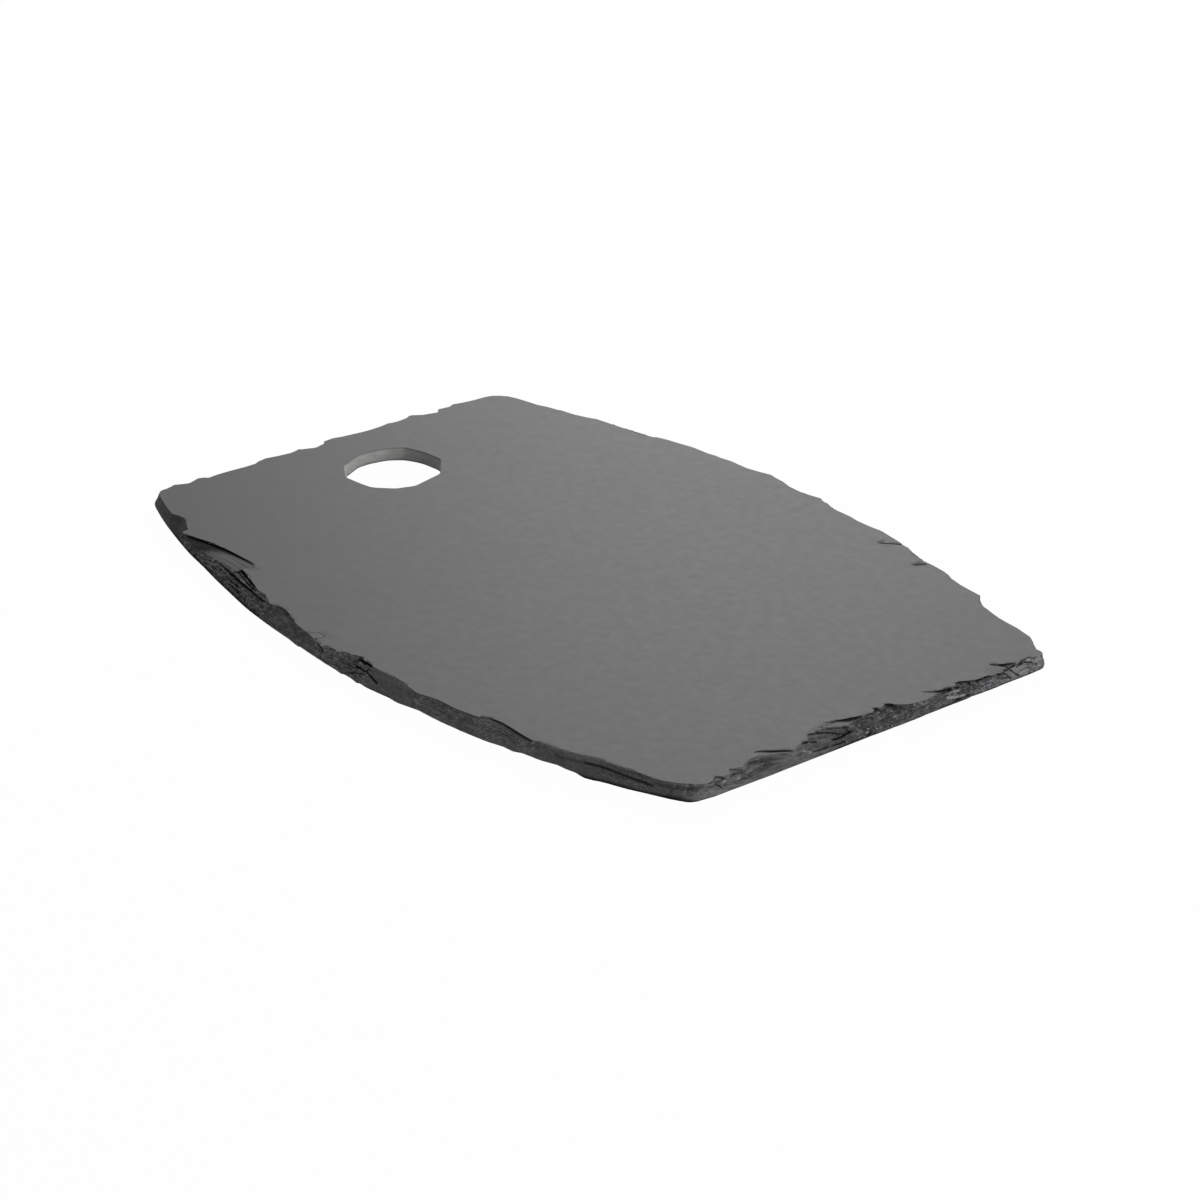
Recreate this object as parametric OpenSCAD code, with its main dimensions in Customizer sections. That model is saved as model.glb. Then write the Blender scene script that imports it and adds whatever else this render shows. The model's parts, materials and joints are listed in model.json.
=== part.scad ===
// Slate serving board: a cleaved slab with bowed sides and a hand-dressed edge,
// a drilled finger hole at the grip end and four stick-on feet underneath.
// The long way of the board is X with the grip end at -X, the near side is at -Y,
// and the feet stand on Z zero.

/* [Slab] */
// Length from end to end
board_l = 300; // [250:1:350]
// Width across the middle of the bowed sides
board_w = 212; // [190:1:240]
// Width at the two straight ends
end_w = 153; // [130:1:170]
// Thickness of the slate
slate_t = 5; // [4:0.25:8]
// Rounding of the four corners
corner_r = 6; // [5:0.5:12]

/* [Finger hole] */
// Diameter of the drilled hole
hole_d = 37; // [26:1:44]
// Slate left between the hole and the grip end
hole_margin = 20; // [14:0.5:30]
// Offset of the hole from the long middle line
hole_shift = 1.5; // [0:0.5:10]

/* [Dressed edge] */
// Half length of the largest flake scar along the edge
scar_l = 24; // [16:1:28]
// Reach of the largest flake scar in over the serving face
scar_d = 10; // [7:0.5:12]
// Setback of the serving face between the scars
dress_d = 1.3; // [0.8:0.1:2]
// Way along the edge by which the middle of a scar lags its upper rim
layer_lag = 4; // [2:0.5:10]
// Half length of the largest chip along the lower edge
chip_l = 9; // [6:0.5:14]
// Depth of the largest chip along the lower edge
chip_d = 1.6; // [0.8:0.1:2.4]
// Rounding back of the lower edge between the chips
arris_d = 0.2; // [0.1:0.1:0.8]

/* [Feet] */
// Diameter of each foot pad
foot_d = 12; // [8:0.5:18]
// Height of each foot pad
foot_h = 1.8; // [1.2:0.1:4]
// Chamfer round the lower rim of a foot pad
foot_chamfer = 0.5; // [0.2:0.1:1]
// Thickness of the adhesive disc on each pad
adhesive_t = 0.2; // [0.1:0.05:0.5]
// Rim of the pad left free around its adhesive disc
adhesive_rim = 0.4; // [0.2:0.1:1]
// Distance of the foot centres from the ends of the board
foot_end = 38; // [25:1:60]
// Distance of the foot centres from the long middle line
foot_side = 55; // [35:1:60]

/* [Hidden] */
$fn = 96;

// Overrun of the drill past both faces
overrun = 1;
// Columns of points round the edge
columns = 640;

// Height of the widest line of the edge, as a share of the slate's thickness
belly_share = 0.14;
// How much of a lower chip shows at the widest line, as a share of its depth
belly_chip_share = 0.5;
// How far the broken wall leans in up to the foot of a scar, as a share of the scar's reach
wall_lean_share = 0.2;
// How far the break sinks below the serving face between the scars, as a share of the thickness
dress_sink_share = 0.5;
// Section of a smooth scar and of a layered one, from its foot up to the serving face: rows
// of the way in and the way up, as shares of the scar's reach and of its sink
smooth_scar_shares = [[0.32, 0.24], [0.64, 0.5], [0.9, 0.8]];
layered_scar_shares = [[0.5, 0.1], [0.56, 0.46], [0.94, 0.56]];

// Flake scars on each side. A row holds the scar's place along the side from the side's
// middle, its half length, its reach, its sink below the serving face, how layered it is
// (below zero where the face rolls over into it), and where along the scar it reaches
// deepest, from -1 at its first end to 1 at its last.
near_scar_shares = [
    [-1.00, 0.30, 0.04, 0.60, 0.0, 0.0], [-0.82, 0.30, 0.28, 0.55, 0.0, 0.1],
    [-0.77, 0.20, 0.14, 0.50, 0.0, 0.0], [-0.60, 1.00, 1.00, 0.28, 1.0, 0.7],
    [-0.41, 0.50, 0.66, 0.65, 0.9, -0.5], [-0.345, 0.44, 0.48, 0.60, 0.5, 0.3],
    [-0.225, 0.50, 0.46, 0.55, 0.3, -0.1], [-0.135, 0.42, 0.20, 0.50, 0.0, -0.2],
    [0.005, 0.16, 0.10, 0.50, 0.0, 0.0], [0.075, 0.46, 0.48, 0.65, 0.3, 0.0],
    [0.195, 0.60, 0.37, 0.45, 0.0, 0.1], [0.365, 0.62, 0.24, 0.40, 0.1, 0.0],
    [0.45, 0.28, 0.22, 0.45, 0.1, 0.3], [0.55, 0.54, 0.44, 0.45, 0.1, -0.5],
    [0.70, 0.54, 0.17, 0.40, -0.6, 0.0], [0.79, 0.34, 0.36, 0.40, -0.4, 0.2],
    [0.87, 0.50, 0.24, 0.50, 0.0, -0.3], [0.99, 0.36, 0.24, 0.45, -0.4, 0.3]
];
plain_scar_shares = [
    [-1.04, 0.24, 0.28, 0.50, 0.4, 0.0], [-0.885, 0.10, 0.16, 0.60, 0.8, -0.1],
    [-0.765, 0.15, 0.26, 0.70, 0.9, -0.6], [-0.66, 0.22, 0.36, 0.60, 0.8, -0.2],
    [-0.555, 0.24, 0.64, 0.55, 1.0, -0.8], [-0.395, 0.20, 0.17, 0.50, 0.6, 0.0],
    [-0.32, 0.12, 0.46, 0.60, 0.9, -0.2], [-0.26, 0.24, 0.48, 0.65, 1.0, 0.2],
    [-0.08, 0.40, 0.82, 0.50, 1.0, -0.8], [0.075, 0.07, 0.56, 0.60, 0.8, 0.0],
    [0.10, 0.30, 0.50, 0.60, 0.8, 0.1], [0.14, 0.08, 0.56, 0.60, 0.8, 0.3],
    [0.24, 0.22, 0.06, 0.50, 0.6, 0.0], [0.40, 0.22, 0.42, 0.60, 0.9, -0.8],
    [0.56, 0.20, 0.26, 0.65, 0.8, -0.4], [0.81, 0.20, 0.50, 0.55, 1.0, -0.8],
    [0.93, 0.22, 0.10, 0.60, 0.6, 0.0]
];
far_scar_shares = [
    [-1.01, 0.32, 0.36, 0.55, 0.2, 0.0], [-0.90, 0.44, 0.30, 0.50, 0.3, 0.3],
    [-0.775, 0.56, 0.35, 0.60, 0.1, 0.2], [-0.585, 0.84, 0.40, 0.35, 0.5, 0.35],
    [-0.38, 0.60, 0.12, 0.55, 0.2, 0.0], [-0.26, 0.50, 0.15, 0.50, 0.4, 0.2],
    [-0.03, 0.48, 0.20, 0.60, 0.1, 0.1], [0.13, 0.50, 0.28, 0.45, 0.3, 0.1],
    [0.215, 0.42, 0.24, 0.55, 0.0, 0.0], [0.31, 0.40, 0.10, 0.50, 0.2, 0.0],
    [0.45, 0.60, 0.33, 0.50, 0.3, -0.1], [0.545, 0.36, 0.18, 0.60, 0.3, 0.0],
    [0.615, 0.42, 0.22, 0.60, 0.2, 0.0], [0.79, 0.56, 0.34, 0.50, 0.1, -0.3],
    [0.98, 0.28, 0.16, 0.55, 0.2, 0.0]
];
grip_scar_shares = [
    [-1.03, 0.24, 0.20, 0.55, 0.2, 0.0], [-0.90, 0.22, 0.28, 0.50, 0.4, 0.1],
    [-0.66, 0.46, 0.29, 0.60, 0.3, -0.6], [-0.55, 0.32, 0.27, 0.45, 0.4, 0.0],
    [-0.40, 0.26, 0.11, 0.50, 0.2, 0.0], [-0.28, 0.36, 0.21, 0.55, 0.2, 0.1],
    [-0.11, 0.28, 0.37, 0.60, 0.3, -0.3], [0.05, 0.30, 0.14, 0.50, 0.2, 0.3],
    [0.24, 0.50, 0.25, 0.50, 0.1, -0.3], [0.42, 0.26, 0.20, 0.55, 0.3, 0.0],
    [0.62, 0.26, 0.38, 0.60, 0.4, 0.2], [0.73, 0.22, 0.20, 0.45, 0.3, 0.0],
    [0.83, 0.16, 0.22, 0.50, 0.3, 0.0], [0.95, 0.42, 0.32, 0.55, 0.2, 0.0]
];

// Chips along the lower edge of each side: place, half length and depth
near_chip_shares = [
    [-0.80, 0.7, 0.2], [-0.62, 0.9, 0.6], [-0.50, 1, 0.8], [-0.38, 0.9, 0.6],
    [-0.24, 0.8, 0.4], [-0.07, 0.7, 0.6], [0.10, 0.8, 0.2], [0.29, 0.9, 0.6],
    [0.48, 0.7, 0.8], [0.62, 0.5, 0.4], [0.76, 0.8, 0.4], [0.98, 0.9, 0.9]
];
plain_chip_shares = [
    [-1.04, 0.9, 0.7], [-0.45, 0.9, 0.2], [-0.10, 0.7, 0.1], [0.30, 1, 0.2], [0.72, 0.7, 0.2]
];
far_chip_shares = [
    [-0.82, 0.9, 0.7], [-0.52, 0.7, 0.9], [-0.28, 1, 0.5], [-0.02, 0.6, 0.7],
    [0.24, 0.9, 0.9], [0.48, 0.7, 0.6], [0.70, 1, 0.8], [0.92, 0.6, 0.5]
];
grip_chip_shares = [
    [-0.74, 0.8, 0.6], [-0.34, 0.6, 0.8], [0.05, 1, 0.5], [0.48, 0.7, 0.9], [0.84, 0.8, 0.5]
];

// Levels of the slab
slab_z = foot_h + adhesive_t;

// Bowed side: an arc through both end corners and the middle of the side
side_bow = (board_w - end_w) / 2;
side_r = (pow(board_l / 2, 2) + pow(side_bow, 2)) / (2 * side_bow);
side_y = side_r - board_w / 2;
// Corner: a fillet between the arc and the straight end
corner_x = board_l / 2 - corner_r;
corner_y = sqrt(pow(side_r - corner_r, 2) - pow(corner_x, 2)) - side_y;
side_turn = atan2(corner_x, side_y + corner_y);

// Ways along a quarter of the outline, from the middle of a side to the middle of an end
side_way = side_r * side_turn * PI / 180;
corner_way = corner_r * (90 - side_turn) * PI / 180;
end_way = corner_y;
quarter_way = side_way + corner_way + end_way;
whole_way = 4 * quarter_way;

// Point and outward direction at a way along the near plain-end quarter
function quarter_turn(way) =
    way < side_way ? -90 + way / side_r * 180 / PI :
    way < side_way + corner_way ? side_turn - 90 + (way - side_way) / corner_r * 180 / PI : 0;
function quarter_point(way) =
    let (turn = quarter_turn(way), out = [cos(turn), sin(turn)])
    way < side_way ? [0, side_y] + side_r * out :
    way < side_way + corner_way ? [corner_x, -corner_y] + corner_r * out :
    [board_l / 2, way - quarter_way];

// Point of the outline at a way right round it, moved in by an inset. The outline is the
// same in all four quarters, so a way is folded back to the first one.
function rim_point(way, inset) =
    let (
        lap = floor(way / quarter_way),
        along = way - lap * quarter_way,
        folded = lap % 2 == 0 ? along : quarter_way - along,
        turn = quarter_turn(folded),
        spot = quarter_point(folded) - inset * [cos(turn), sin(turn)]
    )
    [lap == 0 || lap == 1 ? spot.x : -spot.x, lap == 0 || lap == 3 ? spot.y : -spot.y];

// Shortest way between two places on the outline
function way_apart(way) = way - whole_way * round(way / whole_way);

// Way of a place on a side (near 0, plain end 1, far 2, grip end 3). Places on the far side
// and the grip end count against the way.
function side_sense(side) = side < 2 ? 1 : -1;
function side_place(side, share) =
    side * quarter_way + side_sense(side) * share * (side % 2 == 0 ? side_way : end_way);

scar_shares = [near_scar_shares, plain_scar_shares, far_scar_shares, grip_scar_shares];
chip_shares = [near_chip_shares, plain_chip_shares, far_chip_shares, grip_chip_shares];
scars = [
    for (side = [0:3]) for (row = scar_shares[side])
        [
            side_place(side, row[0]), row[1] * scar_l, row[2] * scar_d,
            row[3] * slate_t, row[4], row[5] * side_sense(side)
        ]
];
chips = [
    for (side = [0:3]) for (row = chip_shares[side])
        [side_place(side, row[0]), row[1] * chip_l, row[2] * chip_d]
];

// Reach of one scallop at a way: nothing outside it, and full where it lies deepest
function scallop(way, place, half, depth, lean) =
    let (u = way_apart(way - place) / half)
    abs(u) >= 1 ? 0 :
    depth * (1 - pow(u < lean ? (lean - u) / (lean + 1) : (u - lean) / (1 - lean), 2));
function scar_reaches(way) = [for (s = scars) scallop(way, s[0], s[1], s[2], s[5])];
function scar_reach(way) = max(scar_reaches(way));
function chip_depth(way) = max([for (c = chips) scallop(way, c[0], c[1], c[2], 0)]);
// Sink and layering of the scar that reaches deepest at a way
function scar_kind(way) =
    let (reaches = scar_reaches(way), best = max(reaches))
    best > 0 ? let (s = scars[search(best, reaches)[0]]) [s[3], s[4]] :
    [dress_sink_share * slate_t, 0];

// Profile of the edge at a way, from the underside up to the serving face, as rows of
// inset and height. The middle of a scar lags behind its upper rim along the edge.
function edge_profile(way) =
    let (
        chip = chip_depth(way),
        kind = scar_kind(way),
        rim_in = dress_d + scar_reach(way),
        foot_in = wall_lean_share * rim_in,
        foot_z = slate_t - kind[0],
        lag_in = min(rim_in, dress_d + scar_reach(way + layer_lag)),
        steps = (1 - kind[1]) * smooth_scar_shares + kind[1] * layered_scar_shares,
        ins = [for (i = [0:2]) foot_in + steps[i][0] * ((i < 2 ? lag_in : rim_in) - foot_in)]
    )
    [
        [arris_d + chip, 0],
        [belly_chip_share * chip, belly_share * slate_t],
        [max(foot_in, belly_chip_share * chip), foot_z],
        for (i = [0:2]) [max(ins[i], belly_chip_share * chip), foot_z + steps[i][1] * kind[0]],
        [rim_in, slate_t]
    ];

// Slab with its dressed edge, as rings of points from the underside to the serving face
module dressed_slab() {
    ways = [for (i = [0:columns - 1]) i * whole_way / columns];
    profiles = [for (way = ways) edge_profile(way)];
    rings = len(profiles[0]);
    points = [
        for (ring = [0:rings - 1]) for (i = [0:columns - 1])
            let (row = profiles[i][ring], spot = rim_point(ways[i], row[0]))
            [spot.x, spot.y, row[1]]
    ];
    walls = [
        for (ring = [0:rings - 2]) for (i = [0:columns - 1])
            let (
                a = ring * columns + i,
                b = ring * columns + (i + 1) % columns
            )
            each [[a, a + columns, b + columns], [a, b + columns, b]]
    ];
    underside = [for (i = [0:columns - 1]) i];
    face = [for (i = [columns - 1:-1:0]) (rings - 1) * columns + i];
    polyhedron(points, concat([underside, face], walls));
}

module slate_slab() {
    color([0.42, 0.43, 0.43])
    translate([0, 0, slab_z])
    difference() {
        dressed_slab();
        translate([hole_d / 2 + hole_margin - board_l / 2, hole_shift, -overrun])
        cylinder(d = hole_d, h = slate_t + 2 * overrun);
    }
}

// Place of a foot: end is -1 at the grip end, side is -1 at the near side
module at_foot(end, side) {
    translate([end * (board_l / 2 - foot_end), side * foot_side, 0])
    children();
}

module foot_pad(end, side) {
    color([0.09, 0.09, 0.1])
    at_foot(end, side) {
        cylinder(d1 = foot_d - 2 * foot_chamfer, d2 = foot_d, h = foot_chamfer);
        translate([0, 0, foot_chamfer])
        cylinder(d = foot_d, h = foot_h - foot_chamfer);
    }
}

module adhesive(end, side) {
    color([0.75, 0.74, 0.7])
    at_foot(end, side)
    translate([0, 0, foot_h])
    cylinder(d = foot_d - 2 * adhesive_rim, h = adhesive_t);
}

slate_slab();
foot_pad(-1, -1);  // foot_pad_near_grip
foot_pad(1, -1);  // foot_pad_near_plain
foot_pad(-1, 1);  // foot_pad_far_grip
foot_pad(1, 1);  // foot_pad_far_plain
adhesive(-1, -1);  // adhesive_near_grip
adhesive(1, -1);  // adhesive_near_plain
adhesive(-1, 1);  // adhesive_far_grip
adhesive(1, 1);  // adhesive_far_plain
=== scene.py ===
import json
import math

import bpy
import numpy as np
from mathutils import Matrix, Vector
from mathutils.bvhtree import BVHTree
from mathutils.geometry import delaunay_2d_cdt
from mathutils.kdtree import KDTree


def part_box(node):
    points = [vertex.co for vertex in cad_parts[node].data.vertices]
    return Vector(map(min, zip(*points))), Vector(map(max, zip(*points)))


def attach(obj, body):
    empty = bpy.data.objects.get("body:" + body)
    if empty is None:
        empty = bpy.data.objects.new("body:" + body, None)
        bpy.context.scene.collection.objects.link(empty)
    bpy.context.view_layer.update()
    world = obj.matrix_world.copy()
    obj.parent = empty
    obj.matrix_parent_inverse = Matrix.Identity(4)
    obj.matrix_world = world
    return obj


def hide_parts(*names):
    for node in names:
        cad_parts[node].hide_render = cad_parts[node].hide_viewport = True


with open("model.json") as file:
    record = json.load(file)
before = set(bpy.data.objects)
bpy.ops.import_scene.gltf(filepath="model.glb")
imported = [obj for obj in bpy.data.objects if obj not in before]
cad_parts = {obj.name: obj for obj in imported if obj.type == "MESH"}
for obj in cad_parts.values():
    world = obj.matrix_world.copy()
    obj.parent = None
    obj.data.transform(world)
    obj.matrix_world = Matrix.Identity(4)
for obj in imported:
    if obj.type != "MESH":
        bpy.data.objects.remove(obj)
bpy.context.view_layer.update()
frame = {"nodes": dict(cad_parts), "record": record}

MM = 0.001
SEED = 7

# Viewing angle of the photograph, about a point on the underside of the slate
VIEW_AZIMUTH = math.radians(51.13)
VIEW_ELEVATION = math.radians(24.94)
VIEW_DISTANCE = 1219.5 * MM
VIEW_POINT = Vector((17.3 * MM, -4.8 * MM, 2.0 * MM))
VIEW_BACK = Vector((math.sin(VIEW_AZIMUTH) * math.cos(VIEW_ELEVATION),
                    -math.cos(VIEW_AZIMUTH) * math.cos(VIEW_ELEVATION), math.sin(VIEW_ELEVATION)))
VIEW_LENS = 107.56
VIEW_SENSOR = 36.0

# Slab: its box from the frame, and the outline that its edge is measured from
SLAB_LOW, SLAB_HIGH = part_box("slate_slab")
THICKNESS = SLAB_HIGH.z - SLAB_LOW.z
HALF_LENGTH = (SLAB_HIGH.x - SLAB_LOW.x) / 2
HALF_WIDTH = (SLAB_HIGH.y - SLAB_LOW.y) / 2
END_WIDTH = 153 * MM
CORNER_RADIUS = 6 * MM
BOW = HALF_WIDTH - END_WIDTH / 2
SIDE_RADIUS = (HALF_LENGTH ** 2 + BOW ** 2) / (2 * BOW)
SIDE_CENTRE = SIDE_RADIUS - HALF_WIDTH
CORNER_X = HALF_LENGTH - CORNER_RADIUS
CORNER_Y = math.sqrt((SIDE_RADIUS - CORNER_RADIUS) ** 2 - CORNER_X ** 2) - SIDE_CENTRE
SIDE_TURN = math.atan2(CORNER_X, SIDE_CENTRE + CORNER_Y)
SIDE_WAY = SIDE_RADIUS * SIDE_TURN
CORNER_WAY = CORNER_RADIUS * (math.pi / 2 - SIDE_TURN)
END_WAY = CORNER_Y
QUARTER_WAY = SIDE_WAY + CORNER_WAY + END_WAY
WHOLE_WAY = 4 * QUARTER_WAY

# Sides in their order round the outline: half the way along each, and the sense in which its shares run
NEAR, PLAIN, FAR, GRIP = range(4)
HALF_WAY = [SIDE_WAY, END_WAY, SIDE_WAY, END_WAY]
SENSE = [1, 1, -1, -1]

# Finger hole, from the record
HOLE = next(m for m in frame["record"]["mounts"] if m["name"] == "finger_hole")
HOLE_X, HOLE_Y = HOLE["pos_m"][:2]
HOLE_RADIUS = HOLE["dims"]["r_mm"] * MM

# Mesh of the slab: spacing of the columns of points on each side, finer on the two in view
PITCH = [0.34 * MM, 0.30 * MM, 0.50 * MM, 0.50 * MM]
CORNER_PITCH = 0.45 * MM
PROFILE_ROWS = 64
HOLE_COLUMNS = 180
HOLE_ROWS = 13
HOLE_ANGLES = np.arange(HOLE_COLUMNS) * 2 * math.pi / HOLE_COLUMNS - math.pi
FACE_PITCH = 5 * MM
CREST_PITCH = 0.30 * MM
SCORE_PITCH = 0.25 * MM
SEEN_PITCH = 0.2 * MM
# Rows of points along the crest of a flake: step outwards in mm, share of the drop, or None where the tread
# gives it, how dark the shade painted on the riser is, and how many points each one stands for
CREST_ROWS = [(-2.2, 0, 0, 4), (-0.8, 0, 0, 2), (-0.06, 0, 0, 1), (0, 0.1, 0.95, 1), (0.08, 1, 0.95, 1),
              (0.35, None, 0.2, 1)]
CREST_ROWS += [(step, None, 0, 2) for step in np.arange(0.9, 14, 0.8)]
# Rows of points along a slit that runs over the serving face: step to either side in mm
SCORE_ROWS = (-0.4, -0.2, 0, 0.2, 0.4)
# Rows of points inside the rim of a face, by step and by how many columns each point stands for, and rings
# of points round the hole, by step from its widest nick and by count
RIM_ROWS = ((0.7 * MM, 2), (2.0 * MM, 4))
HOLE_RINGS = ((0.8 * MM, 120), (2.4 * MM, 80))

# Laminae of the slate, from the underside up, as shares of its thickness
LAMINA_SHARES = [0.0, 0.13, 0.25, 0.36, 0.48, 0.58, 0.69, 0.79, 0.90, 1.0]
LAMINAE = len(LAMINA_SHARES) - 1
# How far the broken ends of the laminae stand in and out: pitch along the edge and depth
RAGGED = [(9 * MM, 0.34 * MM), (3.2 * MM, 0.18 * MM), (1.1 * MM, 0.09 * MM)]

# In the tables a share is a place on a side, in halves of the side from its middle, and lengths are in mm

# Break along each side: share, then how layered it is, how rough its grain is, how pale and how sheeted
BREAK = {
    NEAR: [
        (-1, 0, 0.15, 1.1, 0), (-0.87, 0, 0.1, 1.1, 0), (-0.85, 0, 0.1, 1.5, 0), (-0.77, 0, 0.1, 1.5, 0),
        (-0.74, 0, 0.6, 1.5, 0), (-0.6, 0.1, 1, 1.75, 0), (-0.48, 0, 1, 1.85, 0.2),
        (-0.3, 0.1, 0.9, 1.85, 0.2), (-0.26, 0.1, 0.4, 1.9, 0), (-0.05, 0.2, 0.3, 2.15, 0),
        (0, 0.5, 0.8, 2.35, 0.3), (0.13, 0.5, 0.8, 2.45, 0.3), (0.15, 0, 0.15, 2.6, 0),
        (0.27, 0, 0.15, 2.6, 0), (0.3, 0.1, 0.35, 2.45, 0), (0.38, 0.4, 0.45, 2.4, 0.4),
        (0.47, 0.4, 0.5, 2.45, 0.5), (0.6, 0.3, 0.35, 2.5, 0.3), (0.66, 0, 0.2, 2.4, 0),
        (0.75, 0, 0.15, 2.15, 0), (0.9, 0.05, 0.3, 2, 0), (0.97, 0.1, 0.3, 1.9, 0.3),
        (1, 0.2, 0.35, 1.75, 0.6),
    ],
    PLAIN: [
        (-0.99, 0.3, 0.45, 1.4, 0.7), (-0.95, 0.3, 0.6, 1.4, 0.8), (-0.8, 0.3, 0.5, 1.4, 0.9),
        (-0.72, 0.2, 0.4, 1.25, 1), (-0.67, 0.2, 0.4, 1.1, 1), (-0.63, 0.2, 0.35, 1.3, 1),
        (-0.5, 0.2, 0.35, 1.35, 1), (-0.44, 0.2, 0.5, 1.2, 0.9), (-0.25, 0.2, 0.5, 1.1, 0.9),
        (-0.18, 0.3, 0.8, 0.88, 0.6), (-0.05, 0.4, 0.9, 0.75, 0.4), (0.1, 0.4, 0.9, 0.75, 0.4),
        (0.3, 0.4, 0.9, 0.9, 0.4), (0.36, 0.3, 0.6, 0.92, 0.6), (0.42, 0.3, 0.7, 0.82, 0.6),
        (0.5, 0.4, 0.9, 0.85, 0.3), (0.7, 0.4, 0.9, 1.05, 0.3), (0.74, 0.2, 0.5, 1.3, 0.5),
        (0.85, 0.2, 0.4, 1.9, 0.5), (0.95, 0.4, 0.8, 1.4, 0.3),
    ],
    FAR: [
        (-1, 0.3, 0.3, 1, 0.2), (-0.4, 0.6, 0.6, 1, 0.2), (0, 0.5, 0.5, 1, 0.2), (0.4, 0.7, 0.7, 1, 0.2),
        (0.6, 0.6, 0.9, 1, 0.2), (0.7, 0.1, 0.4, 1, 0.2), (1, 0.1, 0.6, 1, 0.2),
    ],
    GRIP: [
        (-1, 0.1, 0.2, 1, 0.2), (-0.4, 0.5, 0.6, 1, 0.2), (0.2, 0.5, 0.5, 1, 0.2),
        (0.7, 0.7, 0.8, 1, 0.2), (1, 0.3, 0.3, 1, 0.2),
    ],
}

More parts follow.
